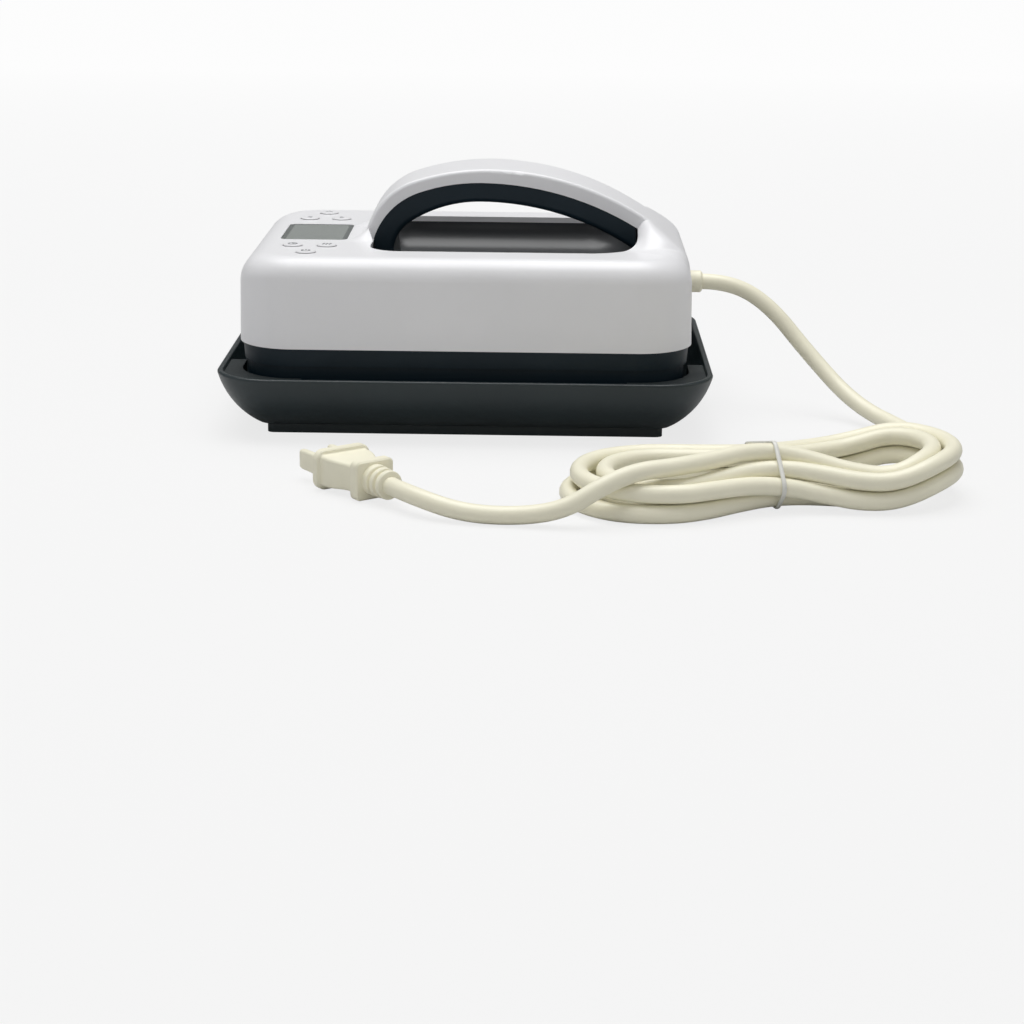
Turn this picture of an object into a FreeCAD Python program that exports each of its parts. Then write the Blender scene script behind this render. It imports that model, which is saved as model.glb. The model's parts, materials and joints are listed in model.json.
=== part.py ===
import FreeCAD, Part
import math
import os
import re
import Sketcher
from FreeCAD import Placement, Rotation, Vector

# Portable heat press with a 7 x 5 inch plate, standing in its insulated tray.
# Millimetres. +X runs from the control panel to the cord, -Y is the long front
# side, +Z is up. The origin is the middle of the tray's foot, on the floor.

SIZES = [
    ("plate_length", 177.8, "heating plate, 7 inches"),
    ("plate_depth", 127, "heating plate, 5 inches"),
    ("plate_thickness", 8, "heating plate"),
    ("plate_corner", 18, "plan corner radius of the heating plate"),
    ("plate_level", 9.6, "underside of the heating plate in the tray"),
    ("plate_chamfer", 1, "lower edge of the heating plate"),
    ("body_margin_x", 6.6, "white shell beyond the plate at each end"),
    ("body_margin_y", 9, "white shell beyond the plate at front and back"),
    ("body_corner", 24, "plan corner radius of the shell"),
    ("body_draft", 0.7, "inward lean of each wall over the shell's height"),
    ("seam_level", 38.4, "height of the seam between shell and skirt"),
    ("shell_height", 37.6, "white shell from its seam to its flat top"),
    ("end_round", 12.5, "rounding of the top edge on the two ends"),
    ("side_round", 9, "rounding of the top edge on the two long sides"),
    ("shell_wall", 2.4, "wall of the moulded shells"),
    ("panel_room", 54.2, "hand well in from the shell's left end"),
    ("shoulder_room", 22.7, "hand well in from the shell's right end"),
    ("well_width", 97.5, "hand well across Y"),
    ("well_corner_left", 13, "plan corner radius of the hand well, left"),
    ("well_corner_right", 22, "plan corner radius of the hand well, right"),
    ("well_depth", 14, "hand well below the shell's top"),
    ("well_round", 11.5, "inner rounding between the well's walls and floor"),
    ("pan_wall", 2, "wall of the well liner"),
    ("pan_flange", 5, "flange of the well liner under the shell"),
    ("pan_lip", 0.5, "well liner set back under the shell's edge"),
    ("handle_width", 38, "handle across Y"),
    ("handle_rise", 30.7, "handle above the shell's flat top"),
    ("handle_shift", 7.15, "handle's highest point left of the well's middle"),
    ("handle_end", 4.5, "handle's top line meets the top's level this far from the end"),
    ("cap_bend", 30.9, "tight bend of the cap above its left foot"),
    ("cap_bend_drop", 4, "centre of that bend below the shell's top"),
    ("cap_foot", 3.7, "cap's left foot beyond the well"),
    ("cap_thickness", 5.8, "white cap of the handle at its crest"),
    ("cap_edge", 1.6, "rounding of the cap's long edges"),
    ("cap_tail", 6.5, "cap's right end in from the shell's end"),
    ("cap_root", 8, "cap's root to the right of the well"),
    ("foot_hollow", 4, "hollow fillet at the handle's left foot"),
    ("seam_bend", 31.3, "tight bend of the joint between cap and grip"),
    ("seam_bend_drop", 9.2, "centre of that bend below the shell's top"),
    ("seam_shift", 3.6, "joint's highest point left of the cap's"),
    ("seam_end", 6, "joint above the shell's top at the well's right end"),
    ("grip_thickness", 8.4, "black grip under the cap at its crest"),
    ("grip_bend", 16.3, "tight bend of the grip's lower line"),
    ("grip_bend_drop", 6.2, "centre of that bend below the shell's top"),
    ("grip_foot", 9.8, "grip's left leg at the shell's top"),
    ("grip_end", 4.3, "grip below the shell's top at the well's right end"),
    ("grip_inset", 0.4, "grip side set back from the cap side"),
    ("grip_round", 2.2, "rounding of the grip's lower edges"),
    ("grip_foot_rise", 3, "grip's leg ends this far above the well's floor"),
    ("shoulder_lip", 6.5, "rounding of the shoulder's left edge"),
    ("shoulder_roll", 11, "rounding of the shoulder's right end"),
    ("ridge_left", 17, "half width of the shoulder's ridge beside the well"),
    ("ridge_right", 37, "half width of the shoulder's ridge at its right end"),
    ("spread_left", 44, "half width of the shoulder beside the well"),
    ("spread_right", 59, "half width of the shoulder at its right end"),
    ("skirt_inset", 1.2, "skirt set back from the shell at the seam"),
    ("skirt_lean", 0.6, "inward lean of the skirt's band"),
    ("skirt_band", 7.7, "height of the skirt's visible upper band"),
    ("skirt_tuck", 1.8, "further set back of the skirt below its band"),
    ("skirt_bottom", 15.5, "height of the skirt's lower edge"),
    ("skirt_edge", 1.8, "rounding of the skirt's lower edge"),
    ("deck_drop", 10.8, "underside of the skirt's inner deck below the seam"),
    ("deck_thickness", 2.4, "inner deck of the skirt"),
    ("deck_ledge_x", 21.5, "width of the inner deck at each end"),
    ("deck_ledge_y", 24.5, "width of the inner deck at front and back"),
    ("deck_corner", 14, "plan corner radius of the deck's opening"),
    ("element_diameter", 5, "sheathed heating element"),
    ("element_inset", 26, "element's line in from the plate's edge"),
    ("element_bend", 22, "bend radius of the element"),
    ("element_end", 14, "element's ends in from the plate's edge"),
    ("blanket_inset", 13, "insulation blanket in from the plate's ends"),
    ("blanket_gap", 3, "insulation blanket to the standoffs"),
    ("blanket_corner", 8, "plan corner radius of the blanket"),
    ("standoff_inset_x", 28.9, "plate standoffs in from the plate's ends"),
    ("standoff_inset_y", 8.5, "plate standoffs in from the plate's long edges"),
    ("standoff_diameter", 8, "plate standoff"),
    ("standoff_neck", 5, "upper end of a plate standoff"),
    ("shield_drop", 2.1, "underside of the heat shield below the deck's"),
    ("shield_sheet", 0.8, "steel sheet of the heat shield"),
    ("shield_inset", 11, "heat shield in from the plate's ends"),
    ("shield_corner", 10, "plan corner radius of the heat shield"),
    ("shield_edge", 1, "heat shield beyond the standoffs"),
    ("cutoff_diameter", 16, "thermal cut-off disc housing"),
    ("cutoff_flange", 2, "mounting flange of the thermal cut-off"),
    ("cutoff_room", 2, "room in the blanket around the thermal cut-off"),
    ("sensor_length", 12, "temperature sensor along X"),
    ("sensor_depth", 5, "temperature sensor along Y"),
    ("sensor_height", 2.4, "temperature sensor"),
    ("sensor_place", 32, "temperature sensor from the plate's middle"),
    ("boss_inset_x", 11, "screw bosses in from the shell's ends"),
    ("boss_inset_y", 23.3, "screw bosses in from the shell's long sides"),
    ("boss_diameter", 8, "screw boss in the shell"),
    ("screw_diameter", 3, "case screw"),
    ("screw_bite", 22, "case screw above the deck"),
    ("screw_head", 6, "head diameter of a case screw"),
    ("screw_head_height", 2.2, "head of a case screw"),
    ("screw_play", 0.3, "room around a case screw in the deck"),
    ("panel_inset", 28.5, "middle line of the control panel from the shell's left end"),
    ("window_length", 28.6, "display window along X"),
    ("window_depth", 42.2, "display window along Y"),
    ("window_corner", 3, "plan corner radius of the window"),
    ("window_sink", 0.2, "display window below the panel"),
    ("module_edge", 2.8, "display module beyond its window"),
    ("button_diameter", 8.3, "push button"),
    ("button_rise", 0.7, "push button above the panel"),
    ("button_travel", 0.5, "push button stroke"),
    ("button_play", 0.3, "gap around a push button"),
    ("button_flange", 0.95, "retaining flange of a push button"),
    ("button_stem", 2, "radius of a push button's stem"),
    ("button_pair_x", 7.25, "paired buttons from the middle line"),
    ("button_pair_y", 36.9, "paired buttons from the middle, along Y"),
    ("button_single_y", 53.7, "single buttons from the middle, along Y"),
    ("board_thickness", 1.6, "circuit boards"),
    ("board_drop", 9.1, "underside of the control board below the shell's inner top"),
    ("board_edge_x", 4.5, "control board beyond its paired switches"),
    ("board_edge_y", 6, "control board beyond its single switches"),
    ("board_post", 5, "post from the shell to the control board"),
    ("board_post_shift", 10.5, "board posts beyond the paired buttons, along Y"),
    ("switch_side", 6, "push switch under a button"),
    ("switch_plunger", 3.4, "plunger of a push switch"),
    ("switch_height", 3.4, "push switch with its plunger"),
    ("buzzer_diameter", 12, "buzzer under the control board"),
    ("buzzer_height", 8, "buzzer under the control board"),
    ("power_drop", 8, "power board's top below the well liner"),
    ("power_board_depth", 70, "power board along Y"),
    ("power_board_edge", 4.5, "power board beyond its left posts"),
    ("power_board_corner", 3, "plan corner radius of the power board"),
    ("post_inset_x", 15, "power board posts in from the well's ends"),
    ("post_inset_y", 8, "power board posts in from the board's long edges"),
    ("post_diameter", 6, "posts from the well liner to the power board"),
    ("terminal_length", 9, "terminal block"),
    ("terminal_depth", 22, "terminal block"),
    ("terminal_height", 9, "terminal block"),
    ("relay_length", 19.5, "relay"),
    ("relay_depth", 15.5, "relay"),
    ("relay_height", 15, "relay"),
    ("relay_inset", 54.75, "relay's middle from the power board's right end"),
    ("relay_front", 16, "relay's middle in front of the board's"),
    ("transformer_length", 24, "transformer"),
    ("transformer_depth", 20, "transformer"),
    ("transformer_height", 17, "transformer"),
    ("transformer_inset", 26.55, "transformer's middle from the power board's left end"),
    ("transformer_back", 12, "transformer's middle behind the board's"),
    ("capacitor_length", 18, "capacitor"),
    ("capacitor_depth", 9, "capacitor"),
    ("capacitor_height", 14, "capacitor"),
    ("capacitor_inset", 50.75, "capacitor's middle from the power board's right end"),
    ("capacitor_back", 16, "capacitor's middle behind the board's"),
    ("tilt_length", 10, "tilt switch"),
    ("tilt_depth", 5, "tilt switch"),
    ("tilt_height", 5, "tilt switch"),
    ("tray_margin", 9.25, "tray rim beyond the shell all round"),
    ("tray_height", 27.3, "height of the tray rim"),
    ("tray_wall", 2.6, "wall of the tray"),
    ("tray_lean", 14, "lean of the tray wall at its rim, in degrees"),
    ("ledge_level", 4.55, "lower end of the tray's bowed wall"),
    ("ledge_inset", 17.8, "lower end of the bowed wall in from the rim"),
    ("foot_step", 3.2, "tray foot further in than the bowed wall"),
    ("foot_corner", 0.4, "inner plan corner radius of the tray foot"),
    ("foot_floor", 2.4, "thickness of the tray floor over the foot"),
    ("mat_gap", 0.3, "running gap under the heating plate"),
    ("pad_drop", 1.3, "top of the corner pads below the tray rim"),
    ("pad_height", 10, "corner pads"),
    ("pad_gap", 2.4, "corner pad to skirt"),
    ("pad_reach_x", 37, "corner pads along the tray's long sides"),
    ("pad_reach_y", 46, "corner pads along the tray's ends"),
    ("fit_gap", 0.15, "clearance between seated pieces"),
    ("cord_drop", 20, "cord's exit below the shell's top"),
    ("cord_diameter", 7, "power cord"),
    ("cord_lead", 11, "inner end of the cord, in from the shell's end"),
    ("collar_diameter", 9.6, "cord collar outside the shell"),
    ("collar_step", 0.8, "neck of the collar within its outer radius"),
    ("collar_flange", 2, "inner flange of the collar"),
    ("collar_length", 7.1, "cord collar beyond the shell's end"),
    ("tie_sheet", 1.2, "thickness of the cord tie"),
    ("tie_width", 2.6, "width of the cord tie"),
    ("hank_reach", 78, "half length of the cord's hank"),
    ("hank_end", 31, "plan radius of the hank's ends"),
    ("hank_waist", 24, "half width of the hank at its tie"),
    ("hank_height", 21.8, "height of the hank"),
    ("hank_edge", 7, "rounding of the hank's edges"),
    ("hank_join", 8, "hank's pinched sides start this far inside its end circles' middles"),
    ("plug_rear", 17, "rear block of the plug across its axis"),
    ("plug_flange", 24.4, "flange of the plug across its axis"),
    ("plug_height", 15.2, "rear block and grip of the plug"),
    ("plug_round", 2, "rounding of the plug's grip"),
    ("pin_length", 16.2, "plug pins beyond the flange"),
    ("pin_height", 6.4, "plug pins"),
    ("pin_thickness", 1.5, "plug pins"),
    ("pin_pitch", 12.7, "plug pins, middle to middle"),
]

DERIVED = {
    "top_level": "seam_level + shell_height",
    "inner_top": "top_level - shell_wall",
    "body_length": "plate_length + 2 * body_margin_x",
    "body_depth": "plate_depth + 2 * body_margin_y",
    "body_end": "body_length / 2",
    "body_side": "body_depth / 2",
    "well_left": "panel_room - body_end",
    "well_right": "body_end - shoulder_room",
    "well_middle": "(well_left + well_right) / 2",
    "well_floor": "top_level - well_depth",
    "pan_bottom": "well_floor - pan_wall",
    "handle_crest": "well_middle - handle_shift",
    "handle_top": "top_level + handle_rise",
    "seam_top": "handle_top - cap_thickness",
    "grip_top": "seam_top - grip_thickness",
    "deck_level": "seam_level - deck_drop",
    "deck_top": "deck_level + deck_thickness",
    "plate_top": "plate_level + plate_thickness",
    "shield_level": "deck_level - shield_drop",
    "element_top": "plate_top + element_diameter + fit_gap",
    "standoff_x": "plate_length / 2 - standoff_inset_x",
    "standoff_y": "plate_depth / 2 - standoff_inset_y",
    "boss_x": "body_end - boss_inset_x",
    "boss_y": "body_side - boss_inset_y",
    "panel_x": "panel_inset - body_end",
    "board_level": "inner_top - board_drop",
    "board_top": "board_level + board_thickness",
    "board_post_x": "button_pair_x + board_edge_x - board_post / 2 - 0.25",
    "board_post_y": "button_pair_y + board_post_shift",
    "switch_top": "board_top + switch_height",
    "power_top": "pan_bottom - power_drop",
    "power_level": "power_top - board_thickness",
    "lead_x": "body_end - cord_lead",
    "power_left": "well_left + post_inset_x - power_board_edge",
    "power_right": "lead_x - 2",
    "transformer_x": "power_left + transformer_inset",
    "post_x": "(well_right - well_left) / 2 - post_inset_x",
    "post_y": "power_board_depth / 2 - post_inset_y",
    "tray_length": "body_length + 2 * tray_margin",
    "tray_depth": "body_depth + 2 * tray_margin",
    "foot_inset": "ledge_inset + foot_step",
    "tray_corner": "foot_inset + tray_wall + foot_corner",
    "pad_top": "tray_height - pad_drop",
    "pad_bottom": "pad_top - pad_height",
    "cord_level": "top_level - cord_drop",
    "collar_neck": "collar_diameter - 2 * collar_step",
    "cord_exit": "body_end + collar_length",
}

doc = FreeCAD.newDocument("HeatPress")
sheet = doc.addObject("Spreadsheet::Sheet", "Sizes")
for row, (alias, value, note) in enumerate(SIZES, start=1):
    sheet.set(f"A{row}", alias)
    sheet.set(f"B{row}", str(value))
    sheet.set(f"C{row}", note)
    sheet.setAlias(f"B{row}", alias)
doc.recompute()

pieces = []


def formula(text):
    """Turns an expression of size names into one of sheet cells."""
    def refer(match):
        name = match.group(0)
        return f"({formula(DERIVED[name])})" if name in DERIVED else f"Sizes.{name}"
    return re.sub(r"[a-z][a-z_]*", refer, text)


def size(text):
    """Value of a size, or of an expression of size names."""
    return float(sheet.evalExpression(formula(text)))


def keep(piece, label):
    piece.Label = label
    pieces.append(piece)
    return piece


def feature(label, shape, place=None):
    """A sub-part whose shape is computed from the sheet."""
    piece = doc.addObject("Part::Feature", label)
    piece.Shape = shape
    if place is not None:
        piece.Placement = place
    return keep(piece, label)


def bind_place(piece, x="0", y="0", z="0"):
    """Ties a piece's position to expressions of the sheet."""
    for axis, text in zip("xyz", (x, y, z)):
        piece.setExpression(f".Placement.Base.{axis}", formula(text))


# ---------------------------------------------------------------- sketches

def new_body(label, x="0", y="0", z="0"):
    body = doc.addObject("PartDesign::Body", label)
    bind_place(body, x, y, z)
    return keep(body, label)


def new_sketch(body, name):
    """Sketch on the body's own XY plane."""
    sketch = body.newObject("Sketcher::SketchObject", name)
    plane = next(o for o in body.Origin.OriginFeatures if o.Role == "XY_Plane")
    sketch.AttachmentSupport = [(plane, "")]
    sketch.MapMode = "FlatFace"
    return sketch


def bind_constraint(sketch, constraint, name, text):
    index = sketch.addConstraint(constraint)
    sketch.renameConstraint(index, name)
    sketch.setExpression(f"Constraints.{name}", formula(text))


def draw_rounded(sketch, length, depth, corner):
    """Rounded rectangle about the sketch's origin, with bound sizes."""
    half_x, half_y, r = size(length) / 2, size(depth) / 2, size(corner)
    flat_x, flat_y = half_x - r, half_y - r
    lines = [((-flat_x, -half_y), (flat_x, -half_y)), ((half_x, -flat_y), (half_x, flat_y)),
             ((flat_x, half_y), (-flat_x, half_y)), ((-half_x, flat_y), (-half_x, -flat_y))]
    centres = [(flat_x, -flat_y), (flat_x, flat_y), (-flat_x, flat_y), (-flat_x, -flat_y)]
    for start, end in lines:
        sketch.addGeometry(Part.LineSegment(Vector(*start, 0), Vector(*end, 0)))
    for quarter, centre in enumerate(centres):
        circle = Part.Circle(Vector(*centre, 0), Vector(0, 0, 1), r)
        start = math.radians(90 * quarter - 90)
        sketch.addGeometry(Part.ArcOfCircle(circle, start, start + math.pi / 2))
    for side in range(4):
        arc = 4 + side
        sketch.addConstraint(Sketcher.Constraint("Tangent", side, 2, arc, 1))
        sketch.addConstraint(Sketcher.Constraint("Tangent", arc, 2, (side + 1) % 4, 1))
    for side, direction in enumerate(("Horizontal", "Vertical", "Horizontal", "Vertical")):
        sketch.addConstraint(Sketcher.Constraint(direction, side))
    sketch.addConstraint(Sketcher.Constraint("Equal", 4, 5))
    sketch.addConstraint(Sketcher.Constraint("Equal", 5, 6))
    sketch.addConstraint(Sketcher.Constraint("Symmetric", 4, 3, 6, 3, -1, 1))
    bind_constraint(sketch, Sketcher.Constraint("Radius", 4, r), "corner", corner)
    bind_constraint(sketch, Sketcher.Constraint("DistanceX", 3, 1, 1, 1, 2 * half_x),
                    "length", length)
    bind_constraint(sketch, Sketcher.Constraint("DistanceY", 0, 1, 2, 1, 2 * half_y),
                    "depth", depth)


def draw_circle(sketch, diameter, name, x="0", y="0"):
    """Circle with a bound diameter; x and y are expressions, zero or both off centre."""
    across, along, r = size(x), size(y), size(diameter) / 2
    index = sketch.addGeometry(Part.Circle(Vector(across, along, 0), Vector(0, 0, 1), r))
    bind_constraint(sketch, Sketcher.Constraint("Diameter", index, 2 * r), name, diameter)
    if across == 0 and along == 0:
        sketch.addConstraint(Sketcher.Constraint("Coincident", index, 3, -1, 1))
        return
    for kind, centre, text in (("DistanceX", across, x), ("DistanceY", along, y)):
        constraint = Sketcher.Constraint(kind, -1, 1, index, 3, centre)
        bind_constraint(sketch, constraint, name + kind[-1], text)


def plate_body(label, length, depth, corner, thickness, x="0", y="0", z="0", holes=()):
    """A rounded rectangular plate on its own XY plane, with round holes."""
    body = new_body(label, x, y, z)
    sketch = new_sketch(body, label + "_outline")
    draw_rounded(sketch, length, depth, corner)
    for count, (hole_x, hole_y, diameter) in enumerate(holes):
        draw_circle(sketch, diameter, f"hole{count}", hole_x, hole_y)
    pad = body.newObject("PartDesign::Pad", label + "_pad")
    pad.Profile = sketch
    pad.setExpression("Length", formula(thickness))
    doc.recompute()
    return body


def chamfer_bottom(body, width):
    """Chamfers the edges that lie in the body's own XY plane."""
    base = body.Tip
    names = [f"Edge{index}" for index, edge in enumerate(base.Shape.Edges, start=1)
             if lies_at(edge, 0)]
    chamfer = body.newObject("PartDesign::Chamfer", body.Name + "_chamfer")
    chamfer.Base = (base, names)
    chamfer.setExpression("Size", formula(width))
    doc.recompute()


def box_piece(label, length, depth, height, x, y, z):
    """A plain block; x and y place its middle, z its underside."""
    piece = doc.addObject("Part::Box", label)
    for name, text in (("Length", length), ("Width", depth), ("Height", height)):
        piece.setExpression(name, formula(text))
    bind_place(piece, f"{x} - ({length}) / 2", f"{y} - ({depth}) / 2", z)
    doc.recompute()
    return keep(piece, label)


def revolve_body(label, profile, x="0", y="0", z="0"):
    """A turned piece from (radius, height) pairs around its own Z axis."""
    points = [Vector(r, 0, height) for r, height in profile]
    face = Part.Face(Part.makePolygon(points + points[:1]))
    piece = feature(label, face.revolve(Vector(0, 0, 0), Vector(0, 0, 1), 360))
    bind_place(piece, x, y, z)
    return piece


def revolve_along_x(profile):
    """A turned solid from (radius, x) pairs around the X axis."""
    points = [Vector(x, 0, r) for r, x in profile]
    face = Part.Face(Part.makePolygon(points + points[:1]))
    return face.revolve(Vector(0, 0, 0), Vector(1, 0, 0), 360)


# ------------------------------------------------------------ plain shapes

def polar(radius, degrees):
    angle = math.radians(degrees)
    return Vector(radius * math.cos(angle), radius * math.sin(angle), 0)


def rounded_wire(length, depth, corner, level, x=0.0, right=None):
    """Rounded rectangle, anticlockwise from its front left; its right corners may differ."""
    half_x, half_y = length / 2, depth / 2
    right = corner if right is None else right
    quarters = [(1, -1, right), (1, 1, right), (-1, 1, corner), (-1, -1, corner)]
    start = Vector(x - half_x + corner, -half_y, level)
    edges = []
    for quarter, (side_x, side_y, radius) in enumerate(quarters):
        centre = Vector(x + side_x * (half_x - radius), side_y * (half_y - radius), level)
        arc = [centre + polar(radius, 90 * quarter - 90 + turn) for turn in (0, 45, 90)]
        edges.append(Part.makeLine(start, arc[0]))
        edges.append(Part.Arc(*arc).toShape())
        start = arc[2]
    return Part.Wire(edges)


def rounded_prism(length, depth, corner, bottom, top, x=0.0, right=None):
    face = Part.Face(rounded_wire(length, depth, corner, bottom, x, right))
    return face.extrude(Vector(0, 0, top - bottom))


def box_between(x0, x1, y0, y1, z0, z1):
    return Part.makeBox(x1 - x0, y1 - y0, z1 - z0, Vector(x0, y0, z0))


def cylinder(x, y, bottom, top, diameter):
    return Part.makeCylinder(diameter / 2, top - bottom, Vector(x, y, bottom))


def polyline(points):
    return [Part.makeLine(a, b) for a, b in zip(points, points[1:])]


def lies_at(edge, level):
    """Whether an edge lies wholly at one height."""
    box = edge.BoundBox
    return abs(box.ZMin - level) < 1e-4 and abs(box.ZMax - level) < 1e-4


def flat_edges(shape, level):
    return [edge for edge in shape.Edges if lies_at(edge, level)]


def largest(shape):
    return max(shape.Solids, key=lambda solid: solid.Volume)


def four_corners(x, y):
    return [(side_x * x, side_y * y) for side_x in (1, -1) for side_y in (1, -1)]


# ---------------------------------------------------------- handle curves

class Arch:
    """Bent line of the handle in the XZ plane, left foot to right end.

    A near vertical foot, a tight bend, a long left arc up to the crest and a
    long right arc down to the right end. The long arcs' radii follow from the
    crest, the foot and the end.
    """

    BEND_SHARE = 0.92

    def __init__(self, crest, foot, end, bend, bend_level, lean):
        """crest, foot and end are (x, z) pairs; lean is the foot's, in degrees."""
        self.crest = Vector(crest[0], 0, crest[1])
        rise = crest[1] - bend_level
        self.bend = min(bend, self.BEND_SHARE * rise)
        self.lean = math.radians(90 - lean)
        above = foot[1] - bend_level
        centre_x = foot[0] + math.sqrt(self.bend ** 2 - above ** 2)
        self.bend_centre = Vector(centre_x, 0, bend_level)
        run = crest[0] - centre_x
        self.left = (run * run + rise * rise - self.bend ** 2) / (2 * (rise - self.bend))
        self.left_turn = math.asin(run / (self.left - self.bend))
        span, drop = end[0] - crest[0], crest[1] - end[1]
        self.right = (span * span + drop * drop) / (2 * drop)

    def left_point(self, angle):
        return self.crest + Vector(-self.left * math.sin(angle), 0,
                                   -self.left * (1 - math.cos(angle)))

    def bend_point(self, angle):
        return self.bend_centre + Vector(-math.sin(angle), 0, math.cos(angle)) * self.bend

    def foot_angle(self, level):
        """Angle of the tight bend where it reaches a height, or its full turn."""
        rise = (level - self.bend_centre.z) / self.bend
        return min(self.lean, math.acos(max(-1, min(1, rise))))

    def foot_point(self, level):
        top = self.bend_point(self.foot_angle(level))
        drop = max(0, top.z - level)
        return Vector(top.x + drop / math.tan(self.lean), 0, level)

    def right_point(self, x):
        across = x - self.crest.x
        return Vector(x, 0, self.crest.z - self.right + math.sqrt(self.right ** 2 - across ** 2))

    def edges(self, foot_level, right_x):
        """From the foot at foot_level up and over to right_x."""
        angle = self.foot_angle(foot_level)
        foot, lean = self.foot_point(foot_level), self.bend_point(angle)
        joint = self.left_point(self.left_turn)
        edges = []
        if lean.z > foot_level + 1e-6:
            edges.append(Part.makeLine(foot, lean))
        middles = (self.bend_point((angle + self.left_turn) / 2), self.left_point(self.left_turn / 2),
                   self.right_point((self.crest.x + right_x) / 2))
        ends = (lean, joint, self.crest, self.right_point(right_x))
        for start, middle, end in zip(ends, middles, ends[1:]):
            edges.append(Part.Arc(start, middle, end).toShape())
        return edges


CAP_LEAN = 4
GRIP_LEAN = 8
SEAM_FOOT = 0.1


def outer_arch():
    """Top line of the handle."""
    top = size("top_level")
    return Arch((size("handle_crest"), size("handle_top")), (size("well_left - cap_foot"), top),
                (size("body_end - handle_end"), top), size("cap_bend"),
                size("top_level - cap_bend_drop"), CAP_LEAN)


def seam_arch():
    """Joint line between the white cap and the black grip."""
    return Arch((size("handle_crest - seam_shift"), size("seam_top")),
                (size("well_left") + SEAM_FOOT, size("top_level")),
                (size("well_right"), size("top_level + seam_end")), size("seam_bend"),
                size("top_level - seam_bend_drop"), CAP_LEAN)


def palm_arch():
    """Lower line of the grip, where the fingers go."""
    return Arch((size("handle_crest - seam_shift"), size("grip_top")),
                (size("well_left + grip_foot"), size("top_level")),
                (size("well_right"), size("top_level - grip_end")), size("grip_bend"),
                size("top_level - grip_bend_drop"), GRIP_LEAN)


def edges_along(solid, line, half):
    """Long edges of an extruded profile, on its two sides, that follow a line."""
    found = []
    for edge in solid.Edges:
        middle = edge.valueAt((edge.FirstParameter + edge.LastParameter) / 2)
        on_side = abs(abs(middle.y) - half) < 1e-4
        if on_side and line.distToShape(Part.Vertex(middle.x, 0, middle.z))[0] < 1e-4:
            found.append(edge)
    return found


# ------------------------------------------------------------------- tray

class TrayWall:
    """Bowed wall of the tray in section: y counts inwards from the rim."""

    def __init__(self):
        self.lean = math.radians(size("tray_lean"))
        run, drop = size("ledge_inset"), size("tray_height - ledge_level")
        across = run * math.cos(self.lean) - drop * math.sin(self.lean)
        self.bow = (run * run + drop * drop) / (2 * across)
        self.centre = Vector(0, self.bow * math.cos(self.lean),
                             size("tray_height") + self.bow * math.sin(self.lean))
        self.end = math.asin((self.centre.z - size("ledge_level")) / self.bow)

    def arc(self, inset, level):
        """Arc of the wall, set in by inset, from a height to the ledge: three points."""
        radius = self.bow - inset
        start = math.asin((self.centre.z - level) / radius)
        return [self.centre - Vector(0, math.cos(angle), math.sin(angle)) * radius
                for angle in (start, (start + self.end) / 2, self.end)]


def around(face):
    """Carries a section standing in the YZ plane around the tray's outline."""
    corner = size("tray_corner")
    half_x, half_y = size("tray_length / 2"), size("tray_depth / 2")
    sides = [(0, half_x, half_y), (90, half_y, half_x), (180, half_x, half_y), (270, half_y, half_x)]
    solids = []
    for turn, along, near in sides:
        run = along - corner
        straight = face.translated(Vector(-run, -near, 0)).extrude(Vector(2 * run, 0, 0))
        axis = Vector(run, corner - near, 0)
        bend = face.translated(Vector(run, -near, 0)).revolve(axis, Vector(0, 0, 1), 90)
        solids += [solid.rotated(Vector(0, 0, 0), Vector(0, 0, 1), turn) for solid in (straight, bend)]
    return solids[0].multiFuse(solids[1:])


def tray_shell():
    """Bowed wall, ledge and flat foot of the insulated tray."""
    wall, foot, rim = size("tray_wall"), size("foot_inset"), size("tray_height")
    section = TrayWall()
    outer, inner = section.arc(0, rim), section.arc(wall, rim)
    corners = [outer[2], Vector(0, foot, outer[2].z), Vector(0, foot, 0), Vector(0, foot + wall, 0),
               Vector(0, foot + wall, inner[2].z), inner[2]]
    edges = [Part.Arc(*outer).toShape()] + polyline(corners)
    edges += [Part.Arc(*reversed(inner)).toShape(), Part.makeLine(inner[0], outer[0])]
    ring = around(Part.Face(Part.Wire(edges)))
    inset = 2 * foot + wall
    floor = rounded_prism(size("tray_length") - inset, size("tray_depth") - inset,
                          size("tray_corner") - inset / 2, 0, size("foot_floor"))
    shell = ring.fuse(floor).removeSplitter()
    return shell.makeFillet(wall * 0.35, flat_edges(shell, rim))


def corner_pad():
    """L-shaped pad in the front right corner, scribed to the tray's wall."""
    inset = size("skirt_inset + skirt_tuck - pad_gap")
    bottom, top = size("pad_bottom"), size("pad_top")
    length, depth = size("tray_length"), size("tray_depth")
    block = rounded_prism(length, depth, size("tray_corner"), bottom, top)
    hole = skirt_prism(inset, bottom, top)
    quarter = box_between(length / 2 - size("pad_reach_x"), length, -depth,
                          size("pad_reach_y") - depth / 2, bottom, top)
    wall = TrayWall().arc(size("tray_wall + fit_gap"), size("tray_height") + 1)
    beyond = -size("tray_wall")
    points = [wall[2], Vector(0, beyond, wall[2].z), Vector(0, beyond, wall[0].z), wall[0]]
    outside = around(Part.Face(Part.Wire([Part.Arc(*wall).toShape()] + polyline(points))))
    return largest(block.cut(hole).common(quarter).cut(outside))


def build_tray():
    feature("tray_shell", tray_shell())
    front_right = corner_pad()
    middle, right, back = Vector(0, 0, 0), Vector(1, 0, 0), Vector(0, 1, 0)
    front_left = front_right.mirror(middle, right)
    feature("corner_pad_front_right", front_right)
    feature("corner_pad_front_left", front_left)
    feature("corner_pad_back_right", front_right.mirror(middle, back))
    feature("corner_pad_back_left", front_left.mirror(middle, back))
    margin = "2 * (foot_inset + tray_wall + fit_gap)"
    plate_body("heat_mat", f"tray_length - {margin}", f"tray_depth - {margin}", "foot_corner + 1",
               "plate_level - mat_gap - foot_floor", z="foot_floor")


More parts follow.
